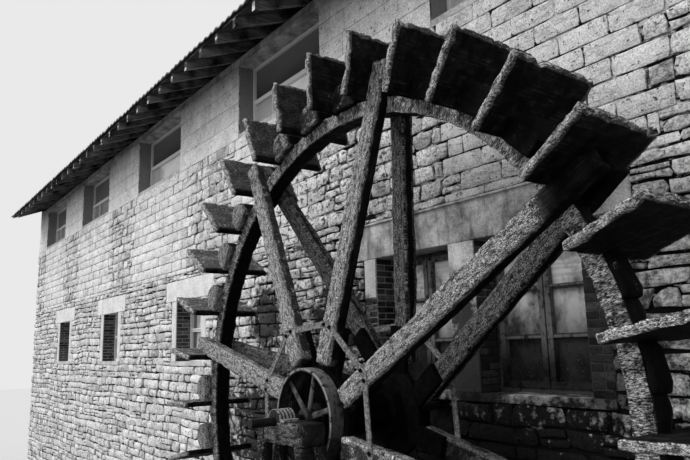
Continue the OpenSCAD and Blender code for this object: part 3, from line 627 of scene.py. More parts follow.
# Turns the flat cells into stones: joints cut in, corners knocked off, faces proud, tilted and crowned
def raiseStones(bm, values, rng):
    tone = bm.faces.layers.float.new("tone")
    for f in bm.faces:
        f[tone] = rng.gauss(*values["tones"])
    # drawn out sideways while the joints are cut, so that the upright joints come out narrower than the beds
    for v in bm.verts:
        v.co.x *= values["squeeze"]
    ring = bmesh.ops.inset_individual(bm, faces=bm.faces[:], thickness=values["joint"] / 2,
                                      use_even_offset=True)["faces"]
    bmesh.ops.delete(bm, geom=ring, context="FACES")
    for v in bm.verts:
        v.co.x /= values["squeeze"]
    # points left by a neighbour's joint go, so that each stone is a plain polygon
    bmesh.ops.dissolve_limit(bm, angle_limit=radians(14), verts=bm.verts[:], edges=bm.edges[:])
    bmesh.ops.subdivide_edges(bm, edges=bm.edges[:], cuts=values.get("cuts", 1))
    tops = bm.faces[:]
    for f in tops:
        centre = f.calc_center_median()
        reach = min(max(v.co.x for v in f.verts) - centre.x, max(v.co.y for v in f.verts) - centre.y)
        angles = [loop.calc_angle() for loop in f.loops]
        for loop, angle in zip(f.loops, angles):
            inwards = (centre - loop.vert.co).normalized()
            if angle < 3.0:
                loop.vert.co += inwards * min(rng.uniform(*values["cornerIn"]), 0.4 * reach)
            else:
                loop.vert.co += inwards * rng.uniform(-0.6, 1.0) * values["edgeMove"]
    bmesh.ops.inset_individual(bm, faces=tops, thickness=0.0, depth=values["proud"])
    for f in tops:
        centre = f.calc_center_median()
        lift = rng.uniform(0, values["relief"])
        leanU, leanV = rng.gauss(0, values["tilt"]), rng.gauss(0, values["tilt"])
        for v in f.verts:
            v.co.z = max(0.004, v.co.z + lift + (v.co.x - centre.x) * leanU + (v.co.y - centre.y) * leanV)
    limits = [extents(f) for f in tops]
    bmesh.ops.inset_individual(bm, faces=tops, thickness=values["shoulder"], depth=values["crown"],
                               use_even_offset=True)
    for f, bounds in zip(tops, limits):
        for v in f.verts:
            v.co.x, v.co.y = (max(low, min(high, v.co[a])) for a, (low, high) in enumerate(bounds))
    bmesh.ops.poke(bm, faces=tops, offset=0.0)
    for v in bm.verts:
        if v.co.z > 0.002:
            v.co += noise.noise_vector(v.co / values["noiseSize"]) * values["noise"]
            v.co.z = max(v.co.z, 0.003)
        else:
            v.co.z = -0.004


def buildRubble(name, side, seed):
    rng = random.Random(seed)
    bm = bmesh.new()
    reach = side["reach"]
    for bottom, top in pairwise([*rubble["beds"], rubbleTop]):
        for v0, v1 in courseLevels(bottom, top, rubble["course"], rng):
            layStones(bm, -reach, reach, v0, v1, rubble, side["holes"], rng)
    clearHoles(bm, side["holes"], rubble["smallest"])
    waveBeds(bm, reach, rubbleTop, side["holes"], rubble["wave"])
    raiseStones(bm, rubble, rng)
    makePiece(name, bm, stoneLook, place=side["place"])


# Blockwork in running bond with toothed piers of rubble between, and smooth blocks from the sills up
def buildUpperStage(name, side, seed):
    rng = random.Random(seed)
    blocks, piers, band = bmesh.new(), bmesh.new(), bmesh.new()
    half, holes = side["reach"], side["holes"]
    isGable = side["row"] == "gable"
    sillBottom = upperRow["sill"] - sillThickness
    count = int((sillBottom - rubbleTop) / blockwork["course"])
    levels = [rubbleTop] + [sillBottom - blockwork["course"] * k for k in range(count, -1, -1)]
    for row, (v0, v1) in enumerate(pairwise(levels)):
        spans, u = [], -half
        for a, b in stonePiers["gable" if isGable else "front"]:
            a = max(-half, a - row % 2 * rng.uniform(*stonePiers["tooth"])) if a > -half + 0.1 else -half
            b = min(half, b + row % 2 * rng.uniform(*stonePiers["tooth"])) if b < half - 0.1 else half
            if a > u + 0.05:
                spans.append((False, u, a))
            spans.append((True, a, b))
            u = b
        if u < half - 0.05:
            spans.append((False, u, half))
        for isPier, a, b in spans:
            if isPier:
                layStones(piers, a, b, v0, v1, stonePiers, holes, rng)
            else:
                length, wander = blockwork["length"], blockwork["wander"]
                cuts = [k * length + length / 2 * (row % 2) + rng.uniform(-wander, wander) for k in range(-60, 60)]
                cuts = [c for c in cuts if a + 0.09 < c < b - 0.09]
                layCourse(blocks, a, b, v0, v1, cuts, blockwork, holeEdges(holes, v0, v1), rng)
    top = gableWall["top"] if isGable else beamBottom
    rows = max(1, round((upperRow["head"] - sillBottom) / bandBlocks["course"]))
    levels = [sillBottom + (upperRow["head"] - sillBottom) * k / rows for k in range(rows + 1)]
    while levels[-1] < top - 0.05:
        levels.append(levels[-1] + bandBlocks["course"])
    for v0, v1 in pairwise(levels):
        layStones(band, -half, half, v0, v1, bandBlocks, holes, rng)
    for suffix, bm, values, look, slotName in (("_blocks", blocks, blockwork, blockLook, "blockwork"),
                                               ("_stone_piers", piers, stonePiers, stoneLook, "rubble_stone"),
                                               ("_window_band", band, bandBlocks, bandLook, "blockwork")):
        clearHoles(bm, holes, values["smallest"])
        if isGable:
            rise = tan(radians(gableWall["pitch"]))
            for s in (-1, 1):
                bmesh.ops.bisect_plane(bm, geom=bm.verts[:] + bm.edges[:] + bm.faces[:], dist=1e-5,
                                       plane_co=(0, gableWall["eaves"] + gableWall["half"] * rise, 0),
                                       plane_no=(s * rise, 1, 0), clear_outer=True)
            clearHoles(bm, [], values["smallest"])
        raiseStones(bm, values, rng)
        makePiece(name + suffix, bm, look, place=side["place"])


stoneLook = masonryMaterial("rubble stone", 0.36, 0.66, 0.84, 38, 0.41)
blockLook = masonryMaterial("concrete blocks", 0.48, 0.72, 0.84, 70, 0.35, contrast=0.75, cracks=0.4, grain=140,
                            depth=0.005)
# the smooth blocks of the window band also get painted shade towards the eaves
bandLook = masonryMaterial("smooth blocks", 0.5, 0.7, 0.82, 70, 0.3, contrast=0.75, cracks=0.15, grain=150,
                           depth=0.003, eavesShade=0.65)
mortarLook = mortarMaterial("rubble mortar", 0.6, 0.52)
blockMortarLook = mortarMaterial("block mortar", 0.56, 0.47)
paleMortarLook = mortarMaterial("brick mortar", 0.4, 0.3, inside=1.0)
for n, (sideName, side) in enumerate(sides.items()):
    buildRubble(sideName + "_rubble", side, 40 + n)
    buildUpperStage(sideName, side, 70 + n)
finishNodes(mortarLook, "front_wall_lower", "back_wall_lower", "left_gable", "right_gable")
finishNodes(blockMortarLook, "front_wall_upper", "back_wall_upper")
print("stage: masonry")

# Lintels stand a little proud of the stones, and a thin ledge runs along the long one's top
lintelLook = concreteMaterial("lintel concrete", 0.62, 0.8, 0.15)
longLintelLook = concreteMaterial("stained lintel concrete", 0.24, 0.66, 0.65, (7, 7, 1.4))
beamLook = concreteMaterial("board-marked concrete", 0.2, 0.62, 0.8, (0.5, 0.5, 17))
sillLook = concreteMaterial("sill concrete", 0.36, 0.62, 0.3)
lintels = {"proud": 0.02, "deep": 0.5, "joint": 0.004, "edge": 0.008, "cell": (0.11, 0.1, 0.12), "noise": 0.004,
           "size": 0.16}
ledge = {**lintels, "cell": (0.11, 1, 1), "edge": 0.005, "short": 0.02, "under": 0.035, "top": 0.008, "back": 0.01,
         "front": 0.042}
small, long = bmesh.new(), bmesh.new()
for side in sides.values():
    for a, b, low, high in side["lintels"]:
        addCastBar(small, (a, low, -lintels["deep"]), (b, high - lintels["joint"], lintels["proud"]), lintels,
                   side["place"], (a, side["half"], 0))
left, right = pairRow["lintelEnds"]
addCastBar(long, (left, pairRow["head"], -lintels["deep"]), (right, rubbleTop - lintels["joint"], lintels["proud"]),
           lintels, front)
addCastBar(long, (left + ledge["short"], rubbleTop - ledge["under"], ledge["back"]),
           (right - ledge["short"], rubbleTop - ledge["top"], ledge["front"]), ledge, front)
makePiece("window_lintels", small, lintelLook, replaced=["lower_lintels"])
makePiece("wheel_window_lintel", long, longLintelLook, replaced=["wheel_lintel"])
finishNodes(beamLook, "eaves_beams", "ground_floor")
finishNodes(sillLook, "window_sills")

# Brick courses in the reveals; the narrow fronts of the jambs are rendered
bricks = {"length": 0.25, "course": 0.0725, "joint": 0.012, "squeeze": 1.0, "lean": 0.0, "split": 0.0,
          "smallest": 0.03, "proud": 0.004, "relief": 0.003, "tilt": 0.01, "shoulder": 0.004, "crown": 0.001,
          "cornerIn": (0.001, 0.004), "edgeMove": 0.001, "noise": 0.001, "noiseSize": 0.05, "tones": (0.45, 0.22)}


# A brick face from u0 to u1 and v0 to v1, laid flat and then placed
def brickFace(target, u0, u1, v0, v1, place, rng):
    bm = bmesh.new()
    rows = round((v1 - v0) / bricks["course"])
    for row in range(rows):
        low, high = v0 + (v1 - v0) * row / rows, v0 + (v1 - v0) * (row + 1) / rows
        shift = bricks["length"] * (0.5 if row % 2 else 1.0)
        cuts = [u0 + shift + bricks["length"] * k for k in range(-1, 60)]
        layCourse(bm, u0, u1, low, high, [c for c in cuts if u0 + 0.03 < c < u1 - 0.03], bricks, [], rng)
    raiseStones(bm, bricks, rng)
    joinInto(target, bm, place)


brickLook = masonryMaterial("dark brick", 0.02, 0.07, 0.18, 70, 0.36, cracks=0.0, grain=120, depth=0.003, wetDark=0.4)
renderLook = concreteMaterial("jamb render", 0.55, 0.76, 0.1)
wallDepth = 0.5
jambs = {"cell": (0.1, 0.12, 1), "edge": 0.004, "size": 0.12, "noise": 0.003, "joint": 0.004, "back": -0.02,
         "front": 0.012}
pairJambs = {**jambs, "edge": 0.005, "front": 0.014, "wide": 0.22, "brickTop": 4.95, "renderFoot": 4.96}
rng = random.Random(12)
reveals, renders = bmesh.new(), bmesh.new()


def addJamb(u0, u1, low, high, values, place, shift=(0, 0, 0)):
    addCastBar(renders, (u0 + values["joint"], low, values["back"]), (u1 - values["joint"], high, values["front"]),
               values, place, shift)


for side in sides.values():
    openings = [(x, lowerRow["width"], lowerRow["sill"], lowerRow["head"]) for x in side["lower"]]
    if side is sides["front"]:
        openings += [(x, pairRow["width"], pairRow["sill"], pairRow["head"]) for x in pairRow["centres"]]
    for x, width, low, high in openings:
        for s in (-1, 1):
            # the reveal runs in from the wall's face: its own u is the depth, its outward side looks into the opening
            edge = side["place"] @ Vector((x + s * width / 2, 0, 0))
            into = side["place"].to_3x3() @ Vector((0, 0, 1))
            across = side["place"].to_3x3() @ Vector((-s, 0, 0))
            right = Vector((0, 0, 1)).cross(across)
            start = -wallDepth if right.dot(into) > 0 else 0.0
            brickFace(reveals, start, start + wallDepth, low, high, sideFrame(edge, right, across), rng)
for side in sides.values():
    for x in side["lower"]:
        for s in (-1, 1):
            ends = (x + s * lowerRow["width"] / 2, x + s * (lowerRow["width"] / 2 + lowerRow["jamb"]))
            addJamb(*sorted(ends), lowerRow["sill"], lowerRow["head"], jambs, side["place"], (x, 0, 0))
# The jambs beside the wheel show their brick in front, the left one only below
(left, right), (foot, top), wide = pairRow["brickEdges"], (pairRow["sill"], pairRow["head"]), pairJambs["wide"]
brickFace(reveals, left, left + wide, foot, pairJambs["brickTop"], front, rng)
brickFace(reveals, right - wide, right, foot, top, front, rng)
addJamb(left, left + wide, pairJambs["renderFoot"], top, pairJambs, front)
addJamb(pairRow["centres"][0] + pairRow["width"] / 2, pairRow["centres"][1] - pairRow["width"] / 2, foot, top,
        pairJambs, front)
makePiece("reveal_bricks", reveals, brickLook)
makePiece("jamb_render", renders, renderLook)
finishNodes(paleMortarLook, "brick_jambs")
print("stage: lintels and jambs")

casements = {"front": -0.262, "back": -0.335, "rebate": 0.004, "bar": 0.028, "barFront": -0.268, "barBack": -0.30,
             "barLap": 0.002, "barEdge": 0.004}
uncut = (9, 9, 9)


# Light of a casement or sash from u0 to u1 and v0 to v1, with glazing bars at the shares given
def addCasement(bm, place, u0, u1, v0, v1, stile, uprights=(), levels=()):
    face = addPanel(bm, u0, u1, v0, v1, casements["back"])
    border = bmesh.ops.inset_region(bm, faces=[face], thickness=stile, use_even_offset=True, use_boundary=True)["faces"]
    bmesh.ops.delete(bm, geom=[face], context="FACES_ONLY")
    made = bmesh.ops.extrude_face_region(bm, geom=border, use_keep_orig=True)["geom"]
    top = [g for g in made if isinstance(g, bmesh.types.BMVert)]
    bmesh.ops.translate(bm, verts=top, vec=(0, 0, casements["front"] - casements["back"]))
    bmesh.ops.transform(bm, matrix=place, verts=islandOf(top[0]))
    half, lap = casements["bar"] / 2, casements["barLap"]
    bars = [(*around(u0 + (u1 - u0) * share, half), v0 + stile - lap, v1 - stile + lap) for share in uprights]
    bars += [(u0 + stile - lap, u1 - stile + lap, *around(v0 + (v1 - v0) * share, half)) for share in levels]
    for a, b, low, high in bars:
        addBar(bm, (a, low, casements["barBack"]), (b, high, casements["barFront"]), uncut, casements["barEdge"],
               place)


upperFrame = {"edge": 0.045, "transom": 0.0225, "stile": 0.045, "upright": 0.27}
lowerFrame = {"edge": 0.07, "bar": 0.0225, "stile": 0.022}
pairFrame = {"edge": 0.07, "stile": 0.058, "gap": 0.008, "bars": (1 / 3, 2 / 3), "sideRebate": 0.022, "endRebate": 0.02}
paleTimberLook = frameMaterial("painted window timber", 0.22, 0.66, 0.64)
greyTimberLook = frameMaterial("weathered window timber", 0.02, 0.14, 0.5, soaked=4.3)
darkTimberLook = frameMaterial("dark window timber", 0.02, 0.05, 0.5)
upperCasements, lowerCasements, pairCasements = bmesh.new(), bmesh.new(), bmesh.new()
lap = casements["rebate"]
for side in sides.values():
    # above its transom an upper window has one wide pane, below it a sash parted by one upright
    half = upperRow["width"] / 2 - upperFrame["edge"] + lap
    middle = (upperRow["sill"] + upperRow["head"]) / 2
    for x in side["upper"]:
        addCasement(upperCasements, side["place"], *around(x, half), upperRow["sill"] + upperFrame["edge"] - lap,
                    middle - upperFrame["transom"] + lap, upperFrame["stile"], uprights=(upperFrame["upright"],))
    half = lowerRow["width"] / 2 - lowerFrame["edge"] + lap
    middle = (lowerRow["sill"] + lowerRow["head"]) / 2
    for x in side["lower"]:
        for s in (-1, 1):
            addCasement(lowerCasements, side["place"], *sorted((x + s * (lowerFrame["bar"] - lap), x + s * half)),
                        middle + lowerFrame["bar"] - lap, lowerRow["head"] - lowerFrame["edge"] + lap,
                        lowerFrame["stile"])
for x in pairRow["centres"]:
    for s in (-1, 1):
        ends = (x + s * pairFrame["gap"], x + s * (pairRow["width"] / 2 - pairFrame["edge"] + pairFrame["sideRebate"]))
        addCasement(pairCasements, front, *sorted(ends), pairRow["sill"] + pairFrame["edge"] - pairFrame["endRebate"],
                    pairRow["head"] - pairFrame["edge"] + pairFrame["endRebate"], pairFrame["stile"],
                    levels=pairFrame["bars"])
for name, bm, look in (("upper_casements", upperCasements, paleTimberLook),
                       ("lower_casements", lowerCasements, paleTimberLook),
                       ("wheel_casements", pairCasements, greyTimberLook)):
    bmesh.ops.recalc_face_normals(bm, faces=bm.faces[:])
    makePiece(name, bm, look, sharp=30)
finishNodes(paleTimberLook, "upper_window_frames", "lower_window_frames")
finishNodes(darkTimberLook, "wheel_window_frames")
# the greys of the upper glass are painted reflection and shade: pale below the transom, dark above it
upperGlassLook = glassMaterial("upper glass", [(8.05, 0.95), (8.67, 0.95), (8.69, 0.035), (9.3, 0.2)], 0.2,
                               (1.2, 1.2, 3.5), greyLeaf=(-0.92, 0.27, 8.68, 0.5), duller=(-5, 8.68, 0.3, 0.18))
# near black: the painted shade of the room behind
lowerGlassLook = glassMaterial("lower glass", [(4.2, 0.01), (5.4, 0.008)], 0.5, paler=(-3.5, 0.12, 0.5))
# near black low down, the painted shade of the room behind, and pale and misty higher up
pairGlassLook = glassMaterial("misty glass", [(3.9, 0.014), (4.42, 0.05), (4.45, 0.2), (4.87, 0.8), (4.9, 0.75),
                                              (5.4, 0.95)], 0.85, (3, 3, 2.2), speckles=0.5, swirl=(4.9, 5.0, 1.0))
finishNodes(upperGlassLook, "upper_window_glass")
finishNodes(lowerGlassLook, "lower_window_glass")
finishNodes(pairGlassLook, "wheel_window_glass")
print("stage: windows")

roof = {"pitch": 22, "half": 14.5, "tileWide": 0.2, "courses": 14, "waves": 6, "lap": 0.05, "lip": 0.022, "wave": 0.03,
        "low": 0.004, "shift": 0.012, "ragged": 0.045}
roofTimberLook = roofTimberMaterial("roof timber", 0.025, 0.28, 0.62)
boardLook = roofTimberMaterial("roof boards", 0.01, 0.09, 0.2)
tileLook = tileMaterial("clay tiles")
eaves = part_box("front_tiles")[0]
slope = radians(roof["pitch"])
slopeLength = (middleY - eaves.y) / cos(slope)


# One slope of the roof: s along it, t up it, h off the boards; gauge is the height of a course
def buildTiles(name, node, mirrored):
    bm = bmesh.new()
    columns = int(2 * roof["half"] / roof["tileWide"] * roof["waves"])
    gauge = slopeLength / roof["courses"]
    rng = random.Random(5)
    for course in range(roof["courses"]):
        grid = bmesh.ops.create_grid(bm, x_segments=columns, y_segments=2, size=0.5)["verts"]
        shift = rng.uniform(-roof["shift"], roof["shift"])
        top = min(slopeLength, (course + 1) * gauge + roof["lap"])
        for v in grid:
            s = v.co.x * 2 * roof["half"]
            row = round((v.co.y + 0.5) * 2)
            curve = 0.5 + 0.5 * cos(2 * pi * (s + shift) / roof["tileWide"])
            ragged = roof["ragged"] * noise.noise((floor((s + shift) / roof["tileWide"] + 0.5), course, 0.5))
            if row < 2:
                t, h = course * gauge + max(0.0, ragged), roof["low"] + roof["wave"] * curve + row * roof["lip"]
            else:
                t, h = top, roof["low"] + roof["wave"] * curve * 0.9
            h = max(0.002, h + 0.002 * noise.noise((s * 2, course * 3.3, 1.5)))
            if course == 0 and row < 2:
                t += h * tan(slope)
            v.co = Vector((s, t, h))
    place = Matrix.Translation((0, eaves.y, eaves.z)) @ Matrix.Rotation(slope, 4, "X")
    if mirrored:
        place = Matrix.Translation((0, 2 * middleY, 0)) @ Matrix.Diagonal((1, -1, 1, 1)) @ place
    bm.transform(place)
    if mirrored:
        bmesh.ops.reverse_faces(bm, faces=bm.faces[:])
    makePiece(name, bm, tileLook, replaced=[node], sharp=55)


buildTiles("front_roof_tiles", "front_tiles", False)
buildTiles("back_roof_tiles", "back_tiles", True)
finishNodes(tileLook, "ridge_tiles")
finishNodes(roofTimberLook, "rafters", "ridge_beam", "wall_plates")
finishNodes(boardLook, "front_deck", "back_deck", "upper_floor")
print("stage: roof")

wheel = {"paddles": 32, "firstPaddle": 0.9, "paddleIn": 3.007, "paddleOut": 3.627, "paddleThick": 0.06,
         "paddleHalf": 0.47, "rimIn": 2.89, "rimOut": 3.04, "rimHalf": 0.10, "spokes": 8, "spokeIn": 0.5,
         "spokeOut": 3.4, "spokeWide": 0.192, "spokeThick": 0.135, "spokeSide": 0.126, "spokeSpread": 0.488,
         "spokeTilt": 7.716, "blockAlong": 0.32, "blockOut": 0.235, "blockAcross": 0.18, "blockChamfer": 0.115,
         "blockNear": 0.19, "wornBlocks": (28, 29, 30, 0, 1, 2), "wornOut": 0.05}


def paddleAngle(k):
    return radians(wheel["firstPaddle"] + k * 360 / wheel["paddles"])


def paddlePlace(k):
    return wheelFrame @ Matrix.Rotation(paddleAngle(k), 4, "Z")


def spinRound(bm, geom, steps):
    bmesh.ops.spin(bm, geom=geom, cent=(0, 0, 0), axis=(0, 0, 1), dvec=(0, 0, 0), angle=2 * pi, steps=steps,
                   use_merge=True, use_duplicate=False)


def newTimber():
    bm = bmesh.new()
    return bm, bm.verts.layers.float.new("growthAndPaintedLight")


# Bar of timber, with UV u along its grain and v across it, both in metres
def addTimber(bm, low, high, cell, edge, along, shift):
    corners = addBar(bm, low, high, cell, edge)
    uv = bm.loops.layers.uv.verify()
    first, second = (a for a in range(3) if a != along)
    for f in dict.fromkeys(f for v in corners for f in v.link_faces):
        f.normal_update()
        isEnd = abs(f.normal[along]) > 0.8
        for loop in f.loops:
            p = loop.vert.co
            if isEnd:
                loop[uv].uv = (2 * p[first] + shift, 2 * p[second] + 0.37 * shift)
            else:
                loop[uv].uv = (p[along] + shift, p[first] + p[second] + 0.37 * shift)
    return corners


# Boards that lie along the axle, ragged and mossy at their near and outer edges
def buildPaddles():
    bm, growthAndPaintedLight = newTimber()
    x0, x1, half, thick = wheel["paddleIn"], wheel["paddleOut"], wheel["paddleHalf"], wheel["paddleThick"] / 2
    for k in range(wheel["paddles"]):
        corners = addTimber(bm, (x0, -thick, -half), (x1, thick, half), (0.036, 0.03, 0.036), 0.008, 2, 7.3 * k)
        seed = Vector((0, 5.0 * k, 0))
        toLeft = -cos(paddleAngle(k))
        for v in corners:
            x, y, z = v.co
            near, outer, far = half - z, x1 - x, z + half
            edge = min(near, outer, far)
            v[growthAndPaintedLight] = sum(max(0.0, full - max(0.0, away) / fade)
                            for full, away, fade in ((0.95, near, 0.04), (0.8, outer, 0.05), (0.6, far, 0.05)))
            if y < 0:
                # these faces, undersides on the right, carry a little growth; on the left of the wheel, where they face
                # up, painted light makes them paler still, except beside the ring
                v[growthAndPaintedLight] += 0.1 + max(0.0, toLeft) * (0.42 if x > x0 + 0.06 else 0.0)
            bite = noise.fractal((v.co + seed) * 7.0, 1.0, 2.0, 4)
            worn = max(0.0, bite) * (0.055 - 0.035 * max(0.0, toLeft)) * max(0.0, 1.0 - max(0.0, edge) / 0.12)
            if outer < 0.12:
                v.co.x -= worn * (1 if outer < near else 0.5)
            if near < 0.12:
                v.co.z -= worn
            if far < 0.12:
                v.co.z += worn
            lump = noise.noise_vector((v.co + seed) * 16.0)
            v.co += Vector((0.4, 1.0, 0.4)) * 0.007 * Vector(lump).dot(Vector((0.5, 0.8, 0.3))) if edge > 0.03 \
                else Vector(lump) * 0.010
            v.co.y += 0.010 * noise.noise((x * 5.0, 5.0 * k, z * 1.2))
        bmesh.ops.transform(bm, matrix=paddlePlace(k), verts=corners)
    makeTimber("paddle_boards", bm, paddleLook, "paddles")


def buildRing():
    bm, growthAndPaintedLight = newTimber()
    inner, outer, half = wheel["rimIn"], wheel["rimOut"], wheel["rimHalf"]
    place = Matrix.Translation(((inner + outer) / 2, 0, 0)) @ Matrix.Rotation(pi / 2, 4, "X") \
        @ Matrix.Diagonal((outer - inner, 2 * half, 1, 1))
    corners = bmesh.ops.create_grid(bm, x_segments=4, y_segments=6, size=0.5, matrix=place)["verts"]
    bmesh.ops.dissolve_faces(bm, faces=bm.faces[:])
    edges = bm.edges[:]
    bmesh.ops.delete(bm, geom=bm.faces[:], context="FACES_ONLY")
    spinRound(bm, [v for v in bm.verts if v.link_edges] + edges, 560)
    bmesh.ops.delete(bm, geom=[v for v in bm.verts if not v.link_faces], context="VERTS")
    bmesh.ops.recalc_face_normals(bm, faces=bm.faces[:])
    uv = bm.loops.layers.uv.verify()
    for f in bm.faces:
        middle = f.calc_center_median()
        turn = atan2(middle.y, middle.x)
        for loop in f.loops:
            p = loop.vert.co
            angle = atan2(p.y, p.x)
            if angle - turn > pi:
                angle -= 2 * pi
            elif turn - angle > pi:
                angle += 2 * pi
            loop[uv].uv = (3 * angle, hypot(p.x, p.y) + p.z)
    for v in bm.verts:
        radius = hypot(v.co.x, v.co.y)
        outward = Vector((v.co.x, v.co.y, 0)) / radius
        # painted light: the near face is a little paler on the left of the wheel and the outer face much paler there,
        # with no growth on the right where it is in shade; the far face gets some growth
        v[growthAndPaintedLight] = (1.0 - 0.25 * max(0.0, outward.x) if v.co.z > half - 0.01 else 0.0) \
            + (0.4 - 0.4 * outward.x if radius > outer - 0.01 else 0.0) + (0.35 if v.co.z < 0.01 - half else 0.0)
        lump = noise.fractal(v.co * 9.0, 1.0, 2.0, 4)
        fine = noise.noise(v.co * 30.0)
        v.co.z += (1 if v.co.z > 0 else -1) * (0.010 * lump + 0.004 * fine) if abs(v.co.z) > half - 0.01 else 0.0
        sign = 1 if radius > outer - 0.01 else (-1 if radius < inner + 0.01 else 0)
        v.co += outward * sign * (0.012 * lump + 0.004 * fine)
    bm.transform(wheelFrame)
    makeTimber("ring_timber", bm, ringLook, "rim")


def buildSpokes(name, node, look, farSide, seed):
    bm, growthAndPaintedLight = newTimber()
    wide, thick, start, stop = wheel["spokeWide"] / 2, wheel["spokeThick"], wheel["spokeIn"], wheel["spokeOut"]
    for k in range(wheel["spokes"]):
        corners = addTimber(bm, (start, -wide, 0), (stop, wide, thick), (0.04, 0.032, 0.034), 0.012, 0, seed + 4.1 * k)
        shift = Vector((0, 3.0 * k + seed, 0))
        turn = paddleAngle(4 * k + 3)
        for v in corners:
            x, y, z = v.co
            # painted shade: past the ring the paddle above shades the spoke, most of all on the right, so growth is
            # held back there, and spoke 7 is painted darker all along
            bare = clamp((x - 2.75) / 0.3) * (1.3 if k == 0 else 0.3) + (0.56 if k == 7 else 0.0)
            v[growthAndPaintedLight] = (0.95 - bare if z > thick - 0.02 else 0.0) + (0.3 if x < start + 0.06 else 0.0) \
                + (0.8 - bare if farSide and z < 0.02 else 0.0)
            # painted light: the side face that looks up is paler
            if abs(y) > wide - 0.02:
                v[growthAndPaintedLight] += 0.6 * max(0.0, copysign(1, y) * cos(turn) - (bare if k == 0 else 0.0))
            lump = noise.fractal(Vector((x * 3.0, y * 12.0, z * 12.0)) + shift, 1.0, 2.0, 4)
            v.co += noise.noise_vector((v.co + shift) * 24.0) * 0.004
            v.co.y += (1 if y > 0 else -1) * 0.012 * lump * (abs(y) > wide - 0.02)
            v.co.z += 0.008 * lump * (z > thick - 0.02)
            if min(x - start, stop - x) < 0.03:
                v.co.x += (1 if x < 1 else -1) * 0.05 * max(0.0, noise.noise(Vector((k, y * 22.0, z * 22.0)) + shift))
        local = Matrix.Rotation(turn, 4, "Z") @ Matrix.Translation((0, -wheel["spokeSide"], wheel["spokeSpread"])) \
            @ Matrix.Rotation(radians(wheel["spokeTilt"]), 4, "Y")
        flip = Matrix.Diagonal((1, 1, -1 if farSide else 1, 1))
        bmesh.ops.transform(bm, matrix=wheelFrame @ flip @ local, verts=corners)
    if farSide:
        bmesh.ops.reverse_faces(bm, faces=bm.faces[:])
    makeTimber(name, bm, look, node)


def buildPaddleBlocks():
    bm, growthAndPaintedLight = newTimber()
    across, root, under = wheel["blockAcross"] / 2, wheel["rimOut"], -wheel["paddleThick"] / 2
    for k in range(wheel["paddles"]):
        if (k + 1) % 4 == 0:
            continue
        isWorn = k in wheel["wornBlocks"]
        low = Vector((root - 0.03, under - wheel["blockAlong"], -across))
        high = Vector((root + (wheel["wornOut"] if isWorn else wheel["blockOut"]), under + 0.01,
                       across if isWorn else wheel["blockNear"]))
        corners = addTimber(bm, low, high, (0.045, 0.045, 0.045), 0.01, 1, 2.7 * k)
        seed = Vector((0, 4.0 * k, 2.0))
        # painted light: the blocks get growth only towards the left of the wheel, most on the left and none on the
        # right
        leftLight = max(0.0, 0.15 - cos(paddleAngle(k)))
        for v in corners:
            x, y, z = v.co
            v[growthAndPaintedLight] = leftLight * ((z > high.z - 0.02) + 0.5 * (x > high.x - 0.05) + 0.6 * (x < low.x + 0.05))
            # the outer corners slant
            limit = high.x - max(0.0, min(wheel["blockChamfer"], 0.5 * (high.x - low.x)) - min(y - low.y, high.y - y))
            v.co.x = min(v.co.x, limit)
            lump = noise.fractal((v.co + seed) * 9.0, 1.0, 2.0, 4)
            v.co += (v.co - (low + high) / 2).normalized() * 0.006 * lump
        bmesh.ops.transform(bm, matrix=paddlePlace(k), verts=corners)
    makeTimber("backing_blocks", bm, blocksLook, "paddle_blocks")


paddleLook = wetTimberMaterial("wet paddle boards", 0.0025, 0.06, 0.24, 0.85, (2.5, 60, 1), 0.6, (30, 60, 1),
                               (7, 16, 1), filmLow=0.07)
ringLook = wetTimberMaterial("mossy ring", 0.002, 0.02, 0.1, 0.66, (2, 30, 1), 0.5, (110, 26, 1), (16, 6, 1))
spokeLook = wetTimberMaterial("mossy spokes", 0.002, 0.04, 0.13, 0.85, (2.5, 60, 1), 0.45, (52, 150, 1))
farSpokeLook = wetTimberMaterial("dark mossy spokes", 0.002, 0.02, 0.06, 0.34, (2.5, 60, 1), 0.4)
axleLook = wetTimberMaterial("wet axle", 0.0008, 0.006, 0.03, 0.15, (2, 40, 1), 0.75, specular=0.02)
blocksLook = wetTimberMaterial("wet backing blocks", 0.002, 0.02, 0.14, 0.7, (3, 50, 1), 0.4)
buildPaddles()
buildRing()
buildSpokes("near_spoke_timber", "near_spokes", spokeLook, False, 1.7)
buildSpokes("far_spoke_timber", "far_spokes", farSpokeLook, True, 41.3)
buildPaddleBlocks()
print("stage: wheel timber")

ironLook = ironMaterial("dark cast iron", 0.0006, 0.005, specular=0.03)
shaftLook = ironMaterial("shaft iron", 0.002, 0.012, roughness=0.22, specular=0.2)
pulleyLook = ironMaterial("pulley iron", 0.006, 0.04, scale=18, paleRubAndHighlight=0.3)
strapLook = ironMaterial("strap iron", 0.04, 0.34, rust=0.54, scale=34)
# the cap's ribs beyond this radius are pale: rubbed metal and painted highlight
capLook = ironMaterial("bearing cap iron", 0.006, 0.03, rust=0.5, scale=40, paleRubAndHighlight=0.22, beyond=0.1005)
pulley = {"outer": 0.452, "rimThick": 0.018, "back": 0.480, "front": 0.616, "bead": 0.010, "bossR": 0.085,
          "bore": 0.0405, "arms": 6, "firstArm": 15, "armRoot": 0.034, "armTip": 0.024, "armFlat": 0.42}


